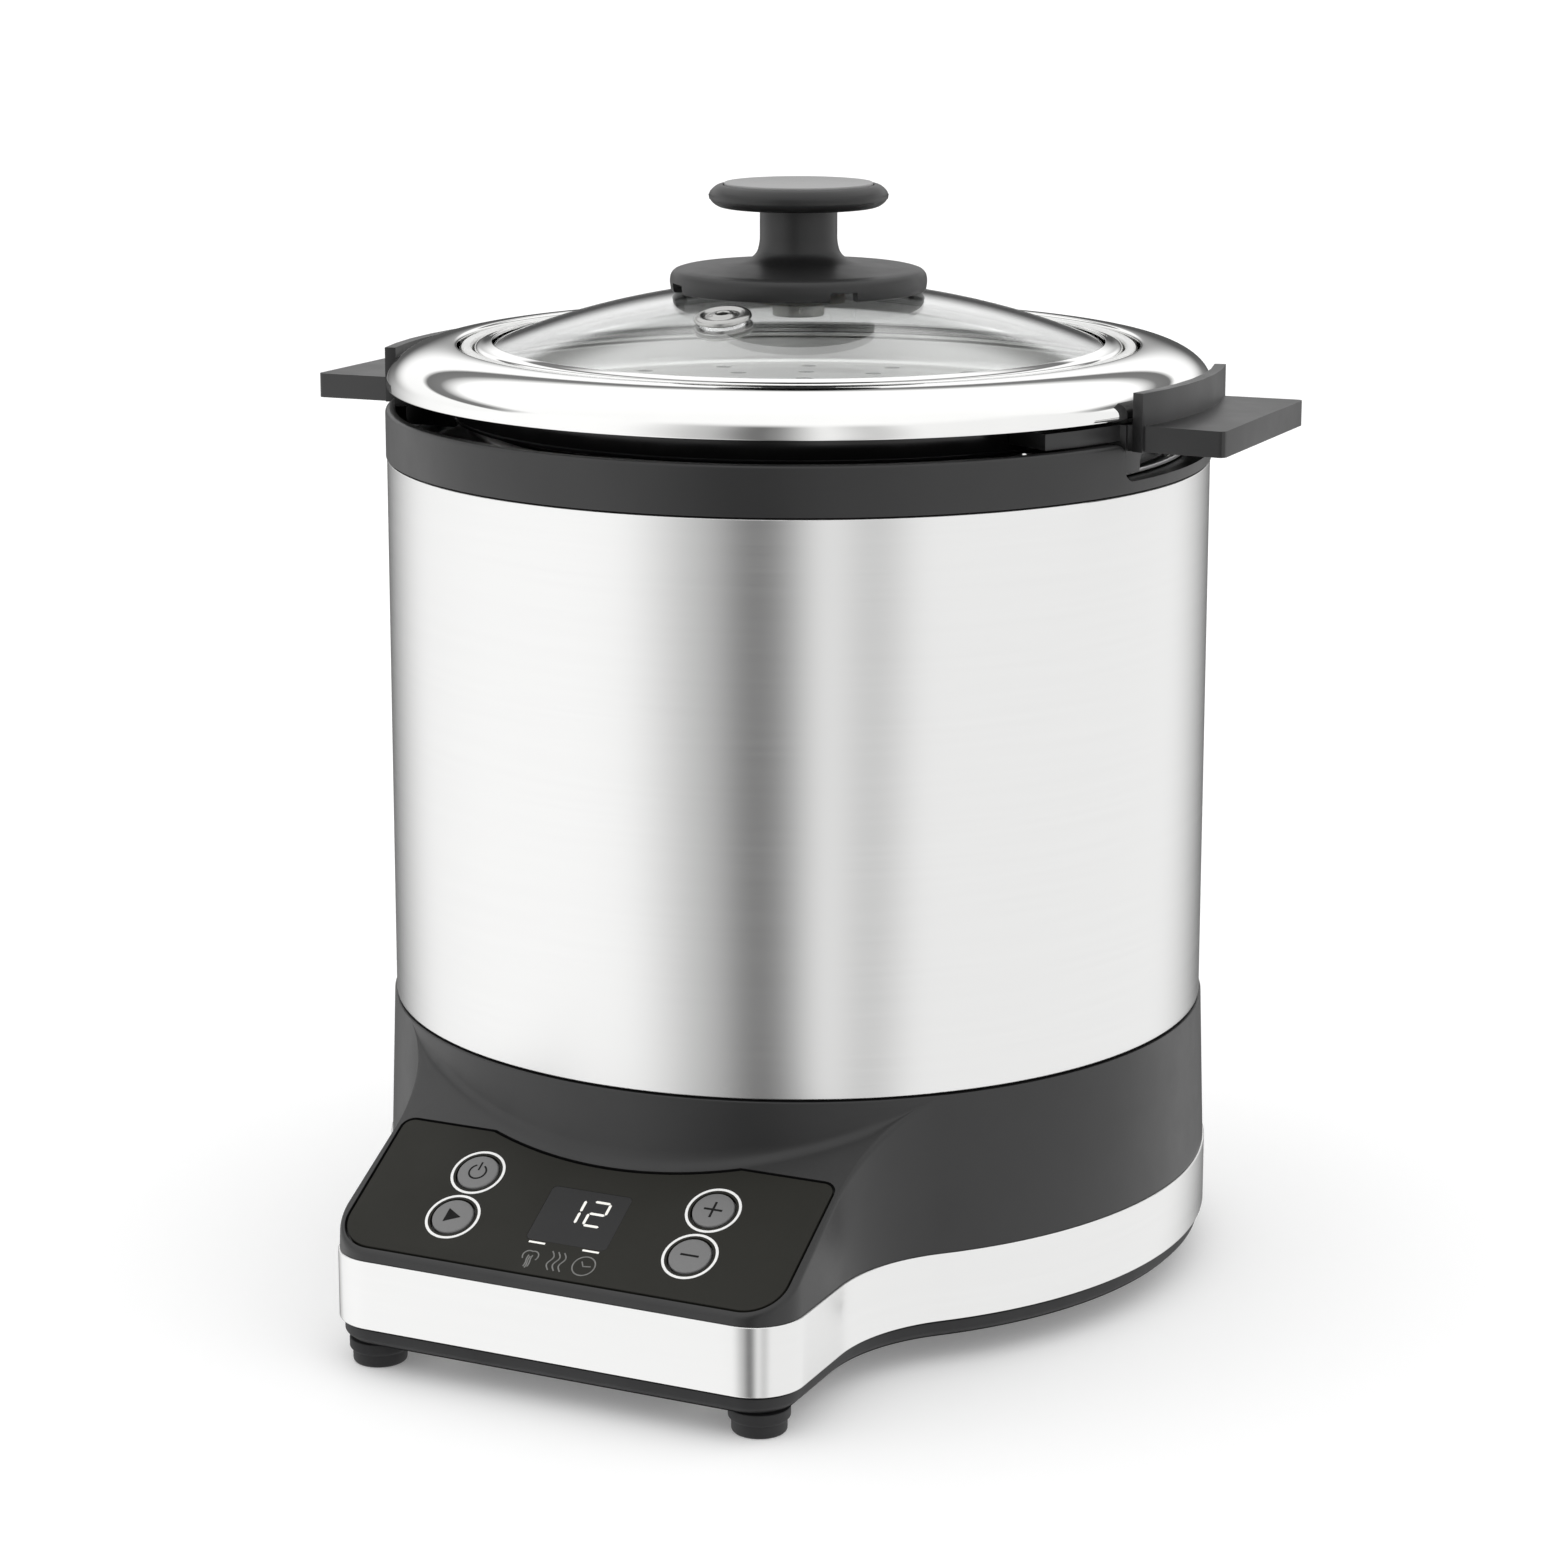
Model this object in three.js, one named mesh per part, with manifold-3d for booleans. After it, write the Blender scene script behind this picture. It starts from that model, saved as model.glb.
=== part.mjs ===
// Compact one-litre multicooker: a brushed steel body on a black base with a sloped control deck,
// a lift-out pot with two handles, a shallow steamer insert and a glass lid.
// Units are millimetres, +Z is up, the controls face -Y and the handles point along X.
// The origin is the middle of the footprint, on the surface that the feet stand on. The pieces are
// worked out about the round body's axis, and the finished cooker is moved along Y at the end.

import * as THREE from 'three';
import { mergeVertices } from 'three/addons/utils/BufferGeometryUtils.js';
import Module from 'manifold-3d';

const wasm = await Module();
wasm.setup();

// ---------- driving dimensions ----------

const gap = 0.3; // clearance between pieces that meet
const wall = 2.2; // moulded wall

const potRadius = 64.8; // outside of the pot's wall: the body is built up around it
const potToLiner = 7;
const linerToShell = 8.2;
const shellHeight = 106.3;
const shellSheet = 0.8;

const footHeight = 5;
const footRadius = 5;
const footInset = { fromSide: 7.9, fromFront: 8, rearX: 44, rearFromRim: 10.5 };
const screwRadius = 1.7;
const screwHead = { radius: 3.2, height: 2 };

const plateThickness = 3.4;
const bandHeight = 13;
const bandSheet = 0.8;
const baseHeight = 30.1; // black housing above the trim band
const baseFlare = { top: 0.4, bottom: 1.4 }; // how far the housing stands out from the shell

const noseReach = 25.9; // how far the control deck stands out in front of the round base
const noseHalfWidth = 46.6;
const noseCorner = 9.5;
const noseFlank = 32;
const deckSlope = 0.57; // rise of the control deck over its run
const deckLip = 1.56; // height of the deck's front edge above the band

const fascia = { margin: 2.4, low: 1.9, high: 32.7, bottomCorner: 7, topCorner: 2.2, sheet: 1.2 };
const fasciaBay = 1.5; // how far the panel keeps clear of the round base
const button = { radius: 3.9, fromEdge: 20.1, rows: [22.6, 11.65], thickness: 2.2, proud: 0.25, travel: 0.6 };
const display = { halfWidth: 8.15, low: 9.6, high: 22.5, lens: 0.9 };
const board = { thickness: 1.6, margin: 6.2, low: 6, high: 27, below: 7.4 };
const tactSize = 5;
const tactHeight = 2.8;
const mainsBoard = { x: 64, y: 44, thickness: 1.6, clearance: 1.6, centreY: 6 };

const inlet = { margin: 4.2, rise: 7.5, flange: 1.8, depth: 13.5 };
const inletSocket = { halfWidth: 8.3, halfHeight: 4.2, depth: 11.5, wall: 1.2 };
const inletPin = { radius: 1.2, length: 9.5, spread: 4.3 };

const ringHeight = 9.3;
const ringProud = 0.2; // the top ring stands this far out from the shell
const ringLedge = { overLiner: 1, thickness: 2 };
const ringNotch = { clearance: 0.8, floor: 2.1, corner: 2.5 };

const linerSheet = 0.8;
const linerRise = 25.6; // floor of the liner above the base plate
const heater = { inset: 4.8, standoff: 2.2, thickness: 11.9, bore: 15 };
const plunger = { radius: 12.4, sheet: 1.2, stem: 4, length: 18, skirt: 10, travel: 3 };
const springWire = 0.9;
const springTurns = 4;
const springRadius = 8;

const potWall = 1.6;
const potFloorThickness = 2;
const potBottomCorner = 9;
const mouthStep = 1.3; // the pot's mouth is this much wider than its wall
const mouthDepth = 5.8; // from the top of the flange down to the steamer's ledge
const flange = { rise: 12.3, drop: 7.4, lip: 0.8, sheet: 1.2 };
const collar = { thickness: 2.5, below: 2.1, above: 3.9, round: 1.6 };

const handle = { reach: 15, halfWidth: 23.2, below: 1.6, thickness: 4.8, corner: 1.2 };
const handleUpstand = { thickness: 2.2, clearance: 0.6, height: 6 };
const handleArm = { thickness: 3, halfAngle: 31, inset: 1.5 };
const handleLeg = { inset: 0.4, web: 5, rib: 4.6 };

const steamer = { clearance: 0.7, bead: 2.1, depth: 10.7, sheet: 1, seat: 2.7 };
const steamerHoles = { rows: 20, radius: 1.7, fromWall: 3.6, pitch: 12, rings: 4, centreRing: 13.2, start: 4.7 };

const glass = { rise: 12.3, thickness: 2.2, bore: 3.2 };
const lidRim = { thickness: 1.3, lap: 1.9, glassLift: 3.1 };
const vent = { radius: 5.5, bore: 4.2, hole: 1.1, distance: 33.5, lip: 1.1 };

const knobBase = { radius: 25, clearance: 0.4, shoulder: 4.2, crown: 6.2, skirt: 2.2 };
const knobNotch = { width: 5.6, height: 1.9, count: 4 };
const knobStem = { radius: 7.5, foot: 9.6, height: 9.4 };
const knobGrip = { radius: 17.4, thickness: 4.3, under: 15.6, joint: 0.5 };
const knobCap = { rim: 3, proud: 0.5, sheet: 1 };

const fine = 32; // facets round a large circle
const medium = 24; // facets round the knob and the sensor
const coarse = 10; // facets round a small piece

// ---------- sizes and heights that follow from them ----------

const linerRadius = potRadius + potToLiner;
const shellRadius = linerRadius + linerToShell;
const ringRadius = shellRadius + ringProud;
const ledgeInner = linerRadius + ringLedge.overLiner;

const plan = {
  round: shellRadius + baseFlare.bottom + gap,
  front: shellRadius + baseFlare.bottom + gap + noseReach,
  halfWidth: noseHalfWidth,
  corner: noseCorner,
  flank: noseFlank,
};

const plateLow = footHeight;
const plateTop = plateLow + plateThickness;
const bandLow = plateTop + gap;
const bandTop = bandLow + bandHeight;
const shellLow = bandTop + baseHeight;
const shellTop = shellLow + shellHeight;
const ringLow = shellTop + gap;
const ringTop = ringLow + ringHeight;
const deckAngle = Math.atan(deckSlope);
const deckFrontZ = bandTop + deckLip;

const linerFloor = plateTop + linerRise;
const linerLip = ringLow + ringLedge.thickness + gap;
const heaterLow = linerFloor + heater.standoff;
const heaterTop = heaterLow + heater.thickness;
const potFloor = heaterTop + gap;
const plungerTop = potFloor - gap;

const flangeTop = ringTop + flange.rise;
const flangeEdge = flangeTop - flange.drop;
const flangeOuter = ringRadius - gap;
const mouthRadius = potRadius + mouthStep;
const flangeInner = mouthRadius + flange.lip;
const mouthLedge = flangeTop - mouthDepth;
const collarOuter = potRadius + gap + collar.thickness;
const collarLow = ringTop - collar.below;
const collarHigh = ringTop + collar.above;

const handleLow = ringTop - handle.below;
const handleHigh = handleLow + handle.thickness;
const upstandInner = flangeOuter + handleUpstand.clearance;
const armLow = ringTop + gap;

const beadOuter = mouthRadius - steamer.clearance;
const rimInner = beadOuter - steamer.bead;
const steamerSeat = mouthLedge + gap;
const steamerLedge = steamerSeat + 0.5;
const steamerWell = rimInner - steamer.seat;
const steamerTop = flangeTop - gap;
const steamerFloor = steamerTop - steamer.depth;

const rimOuter = rimInner - gap - 0.1;
const rimLow = steamerLedge + 2 * gap;
const glassRadius = rimOuter - lidRim.thickness - gap;
const glassEdge = rimLow + lidRim.glassLift;
const glassApex = glassEdge + glass.rise;
const glassSphere = (glassRadius ** 2 + glass.rise ** 2) / (2 * glass.rise);
const knobGripLow = glassHeight(knobBase.radius - knobBase.skirt) + knobBase.clearance
  + knobBase.crown + knobStem.height + knobGrip.joint;

// Height of the glass dome's outer face at a distance from the axis.
function glassHeight(distance) {
  return glassApex - glassSphere + Math.sqrt(glassSphere ** 2 - distance ** 2);
}

// ---------- materials ----------

function finish(hex, roughness, metalness) {
  return new THREE.MeshStandardMaterial({ color: hex, roughness, metalness });
}

const finishes = {
  brushedSteel: finish(0xc4c4c2, 0.32, 1),
  polishedSteel: finish(0xe2e2e2, 0.08, 1),
  blackPlastic: finish(0x343434, 0.55, 0),
  fasciaBlack: finish(0x2c2b28, 0.4, 0),
  buttonGrey: finish(0x7b7b7a, 0.5, 0),
  lensSmoke: finish(0x36363a, 0.15, 0),
  rubber: finish(0x1d1d1d, 0.8, 0),
  boardGreen: finish(0x1f5a34, 0.5, 0),
  aluminium: finish(0xb5b6b8, 0.4, 1),
  nonStick: finish(0x1c1c1d, 0.3, 0.1),
  capGrey: finish(0xa9a9a8, 0.45, 0),
  clearGlass: new THREE.MeshStandardMaterial({ color: 0xeef2f2, roughness: 0.02, transparent: true, opacity: 0.3 }),
  silicone: finish(0xd9d9d6, 0.6, 0),
  brass: finish(0xb08d4a, 0.3, 1),
  ledBlack: finish(0x141416, 0.4, 0),
};

// ---------- solids ----------

// Keeps only positions, welds shared vertices and drops triangles that the weld collapsed.
function weld(geometry) {
  const bare = geometry.clone();
  bare.deleteAttribute('normal');
  bare.deleteAttribute('uv');
  const merged = mergeVertices(bare, 1e-4);
  const kept = [];
  const index = merged.index.array;
  for (let i = 0; i < index.length; i += 3) {
    const [a, b, c] = [index[i], index[i + 1], index[i + 2]];
    if (a !== b && b !== c && c !== a) kept.push(a, b, c);
  }
  merged.setIndex(kept);
  return merged;
}

function toSolid(geometry) {
  const merged = weld(geometry);
  const vertProperties = new Float32Array(merged.attributes.position.array);
  const triVerts = new Uint32Array(merged.index.array);
  return new wasm.Manifold(new wasm.Mesh({ numProp: 3, vertProperties, triVerts }));
}

function toGeometry(solid) {
  const mesh = solid.getMesh();
  const geometry = new THREE.BufferGeometry();
  geometry.setAttribute('position', new THREE.BufferAttribute(Float32Array.from(mesh.vertProperties), 3));
  geometry.setIndex(Array.from(mesh.triVerts));
  return geometry;
}

function join(...geometries) {
  return toGeometry(geometries.map(toSolid).reduce((whole, piece) => whole.add(piece)));
}

function cut(geometry, ...tools) {
  return toGeometry(tools.map(toSolid).reduce((whole, tool) => whole.subtract(tool), toSolid(geometry)));
}

function common(first, second) {
  return toGeometry(toSolid(first).intersect(toSolid(second)));
}

const point = (x, y) => new THREE.Vector2(x, y);

// Points along an arc, both ends included, about one per stepDegrees.
function arc(x, y, radius, fromDegrees, toDegrees, stepDegrees = 10) {
  const steps = Math.max(2, Math.ceil(Math.abs(toDegrees - fromDegrees) / stepDegrees));
  return Array.from({ length: steps + 1 }, (_, i) => {
    const angle = THREE.MathUtils.degToRad(fromDegrees + ((toDegrees - fromDegrees) * i) / steps);
    return point(x + radius * Math.cos(angle), y + radius * Math.sin(angle));
  });
}

// A closed profile of [radius, height] points turned about Z.
function turned(profile, facets = fine) {
  const points = profile.map(([radius, height]) => point(radius, height));
  if (THREE.ShapeUtils.area(points) < 0) points.reverse();
  points.push(points[0].clone());
  return new THREE.LatheGeometry(points, facets).rotateX(Math.PI / 2);
}

function disc(radius, low, high, facets = coarse) {
  return turned([[0, low], [radius, low], [radius, high], [0, high]], facets);
}

function hoop(inner, outer, low, high, facets = fine) {
  return turned([[inner, low], [outer, low], [outer, high], [inner, high]], facets);
}

function slab(outline, low, high, holes = []) {
  const shape = new THREE.Shape(outline);
  shape.holes = holes.map((hole) => new THREE.Path(hole));
  return new THREE.ExtrudeGeometry(shape, { depth: high - low, bevelEnabled: false }).translate(0, 0, low);
}

function block(x0, x1, y0, y1, z0, z1) {
  const box = new THREE.BoxGeometry(x1 - x0, y1 - y0, z1 - z0);
  return box.translate((x0 + x1) / 2, (y0 + y1) / 2, (z0 + z1) / 2);
}

function roundedRectangle(halfX, halfY, corner, x = 0, y = 0) {
  return [
    ...arc(x + halfX - corner, y - halfY + corner, corner, -90, 0, 30),
    ...arc(x + halfX - corner, y + halfY - corner, corner, 0, 90, 30),
    ...arc(x - halfX + corner, y + halfY - corner, corner, 90, 180, 30),
    ...arc(x - halfX + corner, y - halfY + corner, corner, 180, 270, 30),
  ];
}

function tube(path, radius, steps, sides) {
  const section = new THREE.Shape(arc(0, 0, radius, 0, 360 - 360 / sides, 360 / sides));
  return new THREE.ExtrudeGeometry(section, { steps, extrudePath: path, bevelEnabled: false });
}

// ---------- assembly ----------

const cooker = new THREE.Group();

function add(name, geometry, material, parent = cooker) {
  const mesh = new THREE.Mesh(weld(geometry), material);
  mesh.name = name;
  parent.add(mesh);
  return mesh;
}

// Pieces of the control deck: X is across, Y runs up the slope, Z is the deck's normal.
const deck = new THREE.Group();
deck.position.set(0, -plan.front, deckFrontZ);
deck.rotation.x = deckAngle;
cooker.add(deck);

// The two concave flanks that run the nose into the round body.
const flankX = plan.halfWidth + plan.flank;
const flankY = -Math.sqrt((plan.round + plan.flank) ** 2 - flankX ** 2);
const flankTurn = THREE.MathUtils.radToDeg(Math.atan2(-flankY, flankX));

// The plan of the base: a circle with a box-shaped nose, closed across the middle where back is empty.
function planOutline(inset, back) {
  const half = plan.halfWidth - inset;
  const front = plan.front - inset;
  const corner = plan.corner - inset;
  const flank = plan.flank + inset;
  return [
    ...arc(half - corner, corner - front, corner, -90, 0, 22.5),
    ...arc(flankX, flankY, flank, 180, 180 - flankTurn, 12),
    ...back,
    ...arc(-flankX, flankY, flank, flankTurn, 0, 12),
    ...arc(corner - half, corner - front, corner, 180, 270, 22.5),
  ];
}

const baseOutline = (inset) => {
  return planOutline(inset, arc(0, 0, plan.round - inset, -flankTurn, 180 + flankTurn, 9).slice(1, -1));
};

const noseOutline = (inset) => planOutline(inset, [point(40, -40), point(-40, -40)]);

// The nose with its moulding draft: it leans in by the difference of the two insets.
function draftedNose(lowInset, highInset, low, high) {
  const foot = noseOutline(lowInset);
  const head = noseOutline(highInset);
  const geometry = weld(slab(foot, low, high));
  const position = geometry.attributes.position;
  for (let i = 0; i < position.count; i += 1) {
    if (position.getZ(i) < high - 1) continue;
    const at = foot.findIndex((p) => Math.hypot(p.x - position.getX(i), p.y - position.getY(i)) < 1e-3);
    position.setXY(i, head[at].x, head[at].y);
  }
  return geometry;
}

// Everything below the deck's plane lowered by depth, as a wedge that covers the nose.
function underDeck(depth) {
  const reach = 150;
  const lowered = deckFrontZ - depth / Math.cos(deckAngle);
  const side = new THREE.Shape([
    point(-reach, -10),
    point(reach, -10),
    point(reach, lowered + deckSlope * (reach + plan.front)),
    point(-reach, lowered + deckSlope * (plan.front - reach)),
  ]);
  const wedge = new THREE.ExtrudeGeometry(side, { depth: 2 * reach, bevelEnabled: false });
  return wedge.translate(0, 0, -reach).rotateY(Math.PI / 2).rotateX(Math.PI / 2);
}

// ---------- base ----------

// The two-pole mains socket at the back lies along Y. Its flange stands on the housing's widest place there.
const inletFace = shellRadius + baseFlare.bottom + gap;
const inletZ = bandTop + inlet.rise;
const inletBody = {
  halfWidth: inletSocket.halfWidth + inletSocket.wall,
  halfHeight: inletSocket.halfHeight + inletSocket.wall,
};

function inletPrism(halfWidth, halfHeight, near, far) {
  const outline = roundedRectangle(halfWidth, halfHeight, halfHeight - 0.5);
  return slab(outline, near, far).rotateX(-Math.PI / 2).translate(0, 0, inletZ);
}

const footX = plan.halfWidth - footInset.fromSide;
const footY = footInset.fromFront - plan.front;
const rearY = Math.sqrt((plan.round - footInset.rearFromRim) ** 2 - footInset.rearX ** 2);
const feet = {
  front_left: [-footX, footY],
  front_right: [footX, footY],
  rear_left: [-footInset.rearX, rearY],
  rear_right: [footInset.rearX, rearY],
};
const screwShift = 13; // from a foot's centre towards the middle of the base

function screwPlace([x, y]) {
  return [x - Math.sign(x) * screwShift, y - Math.sign(y) * screwShift * 0.4];
}

function addBasePlate() {
  const places = Object.values(feet).map(screwPlace);
  const bores = places.map(([x, y]) => disc(screwRadius + gap, 0, 20, 8).translate(x, y, 0));
  const sinks = places.map(([x, y]) => {
    return disc(screwHead.radius + gap, 0, plateLow + screwHead.height).translate(x, y, 0);
  });
  const top = slab(baseOutline(1), plateLow + 1.2, plateLow + plateThickness);
  const chamfer = slab(baseOutline(2.2), plateLow, plateLow + 1.2);
  add('base_plate', cut(join(top, chamfer), ...bores, ...sinks), finishes.blackPlastic);
}

function addFeet() {
  const profile = [
    [0, 0], [footRadius - 0.7, 0], [footRadius, 0.7], [footRadius, 2.4],
    [footRadius + 0.6, 2.8], [footRadius + 0.6, footHeight - gap], [0, footHeight - gap],
  ];
  for (const [corner, [x, y]] of Object.entries(feet)) {
    add(`foot_${corner}`, turned(profile, coarse), finishes.rubber).position.set(x, y, 0);
  }
}

function addBaseScrews() {
  const seat = plateLow + screwHead.height - gap;
  const profile = [
    [0, seat - 1.5], [screwHead.radius - 0.6, seat - 1.5], [screwHead.radius, seat - 0.8],
    [screwHead.radius, seat], [screwRadius, seat], [screwRadius, seat + 9], [0, seat + 9],
  ];
  for (const [corner, place] of Object.entries(feet)) {
    const [x, y] = screwPlace(place);
    add(`base_screw_${corner}`, turned(profile, 10), finishes.brushedSteel).position.set(x, y, 0);
  }
}

function addTrimBand() {
  const band = slab(baseOutline(0), bandLow, bandTop, [baseOutline(bandSheet)]);
  add('trim_band', band, finishes.brushedSteel);
}

function addBaseHousing() {
  const topRadius = shellRadius + baseFlare.top;
  const lowRadius = shellRadius + baseFlare.bottom;
  const drum = turned([[0, bandTop], [lowRadius, bandTop], [topRadius, shellLow - gap], [0, shellLow - gap]]);
  const lean = [plan.round - lowRadius, plan.round - topRadius];
  const nose = common(draftedNose(...lean, bandTop, shellLow - gap), underDeck(0));
  const skirt = slab(baseOutline(bandSheet + gap), bandLow, bandTop);
  const spigot = disc(shellRadius - shellSheet - gap, shellLow - gap, shellLow + 4, fine);
  const hollowDrum = disc(topRadius - wall, 0, shellLow - wall, fine);
  const hollowNose = common(slab(noseOutline(bandSheet + gap + wall), 0, shellLow - wall),
    underDeck(wall + fascia.sheet));
  const throat = disc(shellRadius - shellSheet - gap - 2, 0, shellLow + 10, fine);
  const socket = inletPrism(inletBody.halfWidth + gap, inletBody.halfHeight + gap, 60, 100);
  const whole = join(drum, nose, skirt, spigot);
  add('base_housing', cut(whole, hollowDrum, hollowNose, throat, socket, ...deckCuts()), finishes.blackPlastic);
}

// ---------- control deck ----------

// Outline of the panel in the deck's own X and Y, grown outwards by margin.
function fasciaOutline(margin) {
  const half = plan.halfWidth - fascia.margin + margin;
  const low = fascia.low - margin;
  const high = fascia.high + margin;
  const bay = plan.round + fasciaBay - margin;
  const meet = Math.acos((plan.front - high * Math.cos(deckAngle)) / bay);
  const meetDegrees = THREE.MathUtils.radToDeg(meet);
  const hollow = arc(0, 0, bay, -90 + meetDegrees, -90 - meetDegrees, 6)
    .map((p) => point(p.x, (plan.front + p.y) / Math.cos(deckAngle)));
  const { bottomCorner, topCorner } = fascia;
  return [
    ...arc(half - bottomCorner, low + bottomCorner, bottomCorner, -90, 0, 18),
    ...arc(half - topCorner, high - topCorner, topCorner, 0, 90, 30),
    ...hollow,
    ...arc(topCorner - half, high - topCorner, topCorner, 90, 180, 30),
    ...arc(bottomCorner - half, low + bottomCorner, bottomCorner, 180, 270, 18),
  ];
}

const buttonX = plan.halfWidth - fascia.margin - button.fromEdge;
const buttons = {
  power: [-buttonX, button.rows[0]],
  start: [-buttonX, button.rows[1]],
  plus: [buttonX, button.rows[0]],
  minus: [buttonX, button.rows[1]],
};

const displayRectangle = (margin) => roundedRectangle(display.halfWidth + margin,
  (display.high - display.low) / 2 + margin, 1, 0, (display.high + display.low) / 2);

const buttonCircle = (x, y, radius) => arc(x, y, radius, 0, 340, 20);

// What the housing loses for the panel: its seat, the button bores and the display's window.
function deckCuts() {
  const seat = slab(fasciaOutline(gap), -fascia.sheet - gap, 5);
  const bores = Object.values(buttons).map(([x, y]) => {
    return slab(buttonCircle(x, y, button.radius + 0.9), -12, 1);
  });
  const window = slab(displayRectangle(gap), -12, 1);
  deck.updateMatrix();
  return [seat, window, ...bores].map((geometry) => geometry.applyMatrix4(deck.matrix));
}

function addPanel() {
  const holes = Object.values(buttons).map(([x, y]) => buttonCircle(x, y, button.radius + gap + 0.1).reverse());
  const plate = slab(fasciaOutline(0), -fascia.sheet, 0, [...holes, displayRectangle(gap).reverse()]);
  add('panel_fascia', plate, finishes.fasciaBlack, deck);
  add('display_lens', slab(displayRectangle(0), -display.lens, 0), finishes.lensSmoke, deck);
}

function addButtons() {
  for (const [name, [x, y]] of Object.entries(buttons)) {
    const low = button.proud - button.thickness;
    const cap = turned([
      [0, low], [button.radius + 0.7, low], [button.radius + 0.7, low + 0.5], [button.radius, low + 0.5],
      [button.radius, button.proud - 0.3], [button.radius - 0.3, button.proud], [0, button.proud],
    ], coarse);
    const stem = disc(1.6, tactTop + button.travel + gap, low);
    add(`button_${name}`, join(cap, stem), finishes.buttonGrey, deck).position.set(x, y, 0);
  }
}

const boardTop = -board.below;
const tactTop = boardTop + gap + tactHeight;

function addControlBoard() {
  const outline = roundedRectangle(plan.halfWidth - fascia.margin - board.margin, (board.high - board.low) / 2, 1.5, 0,
    (board.high + board.low) / 2);
  add('control_board', slab(outline, boardTop - board.thickness, boardTop), finishes.boardGreen, deck);
  const middle = (display.high + display.low) / 2;
  const module = roundedRectangle(display.halfWidth - 0.6, (display.high - display.low) / 2 - 0.6, 0.5, 0, middle);
  const moduleTop = -display.lens - gap;
  add('display_module', slab(module, boardTop + gap, moduleTop), finishes.ledBlack, deck);
  for (const [name, [x, y]] of Object.entries(buttons)) {
    const body = block(-tactSize / 2, tactSize / 2, -tactSize / 2, tactSize / 2, boardTop + gap, tactTop - 1);
    const nib = disc(1.2, boardTop + gap, tactTop, 8);
    add(`tact_switch_${name}`, join(body, nib), finishes.ledBlack, deck).position.set(x, y, 0);
  }
}

// ---------- mains side ----------

function addPowerBoard() {
  const { x, y, thickness, centreY } = mainsBoard;
  const height = plateTop + mainsBoard.clearance;
  const top = height + thickness;
  const sheet = block(-x / 2, x / 2, centreY - y / 2, centreY + y / 2, height, top);
  const relay = block(-x / 2 + 6, -x / 2 + 25, centreY - 8, centreY + 8, height + 1, top + 10);
  const transformer = block(2, 20, centreY - 12, centreY + 6, height + 1, top + 11);
  const capacitor = disc(5, height + 1, top + 10).translate(26, centreY + 12, 0);
  add('power_board', join(sheet, relay, transformer, capacitor), finishes.boardGreen);
}

function addPowerInlet() {
  const front = inletFace + inlet.flange;
  const rim = inletPrism(inletSocket.halfWidth + inlet.margin, inletSocket.halfHeight + inlet.margin - 1.6, inletFace, front);
  const body = inletPrism(inletBody.halfWidth, inletBody.halfHeight, front - inlet.depth, inletFace + 0.5);
  const socket = inletPrism(inletSocket.halfWidth, inletSocket.halfHeight, front - inletSocket.depth, front + 5);
  add('power_inlet', cut(join(rim, body), socket), finishes.blackPlastic);
  const back = front - inletSocket.depth + gap;
  for (const [name, side] of [['live', -1], ['neutral', 1]]) {
    const pin = disc(inletPin.radius, back, back + inletPin.length).rotateX(-Math.PI / 2);
    add(`inlet_pin_${name}`, pin, finishes.brass).position.set(side * inletPin.spread, 0, inletZ);
  }
}

// Leads from the mains board up to the heater's two terminals.
function addHeaterLeads() {
  for (const [name, side] of [['live', -1], ['neutral', 1]]) {
    const start = plateTop + mainsBoard.clearance + mainsBoard.thickness + gap + 1.4;
    const path = new THREE.CatmullRomCurve3([
      new THREE.Vector3(side * 22, -10, start), new THREE.Vector3(side * 28, -22, start + 1),
      new THREE.Vector3(side * 38, -30, linerFloor - 13), new THREE.Vector3(side * 40, -30, linerFloor - 1),
    ]);
    add(`heater_lead_${name}`, tube(path, 1.3, 10, 8), finishes.silicone);
  }
}

// ---------- body ----------

function addShell() {
  const inner = shellRadius - shellSheet;
  add('outer_shell', hoop(inner, shellRadius, shellLow, shellTop), finishes.brushedSteel);
}

function ringNotchTool(side) {
  const { corner } = ringNotch;
  const halfWidth = handle.halfWidth + ringNotch.clearance;
  const low = ringLow + ringNotch.floor;
  const high = ringTop + 2;
  const mouth = [
    ...arc(-halfWidth + corner, low + corner, corner, 180, 270, 30),
    ...arc(halfWidth - corner, low + corner, corner, 270, 360, 30),
    ...arc(halfWidth + corner, ringTop - corner, corner, 180, 90, 30),
    point(halfWidth + corner, high),
    point(-halfWidth - corner, high),
    ...arc(-halfWidth - corner, ringTop - corner, corner, 90, 0, 30),
  ];
  const tool = slab(mouth, linerRadius - 10, shellRadius + 10).rotateX(Math.PI / 2).rotateZ(Math.PI / 2);
  return side > 0 ? tool : tool.rotateZ(Math.PI);
}

function addTopRing() {
  const inner = ringRadius - wall;
  const spigot = shellRadius - shellSheet - gap;
  const section = [
    [ledgeInner, ringLow], [spigot - 1.6, ringLow], [spigot - 1.6, ringLow - 4], [spigot, ringLow - 4],
    [spigot, ringLow], [ringRadius, ringLow], [ringRadius, ringTop - 0.6], [ringRadius - 0.5, ringTop],
    [inner + 0.3, ringTop], [inner, ringTop - 0.4], [inner, ringLow + ringLedge.thickness],
    [ledgeInner, ringLow + ringLedge.thickness],
  ];
  add('top_ring', cut(turned(section), ringNotchTool(1), ringNotchTool(-1)), finishes.blackPlastic);
}

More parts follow.
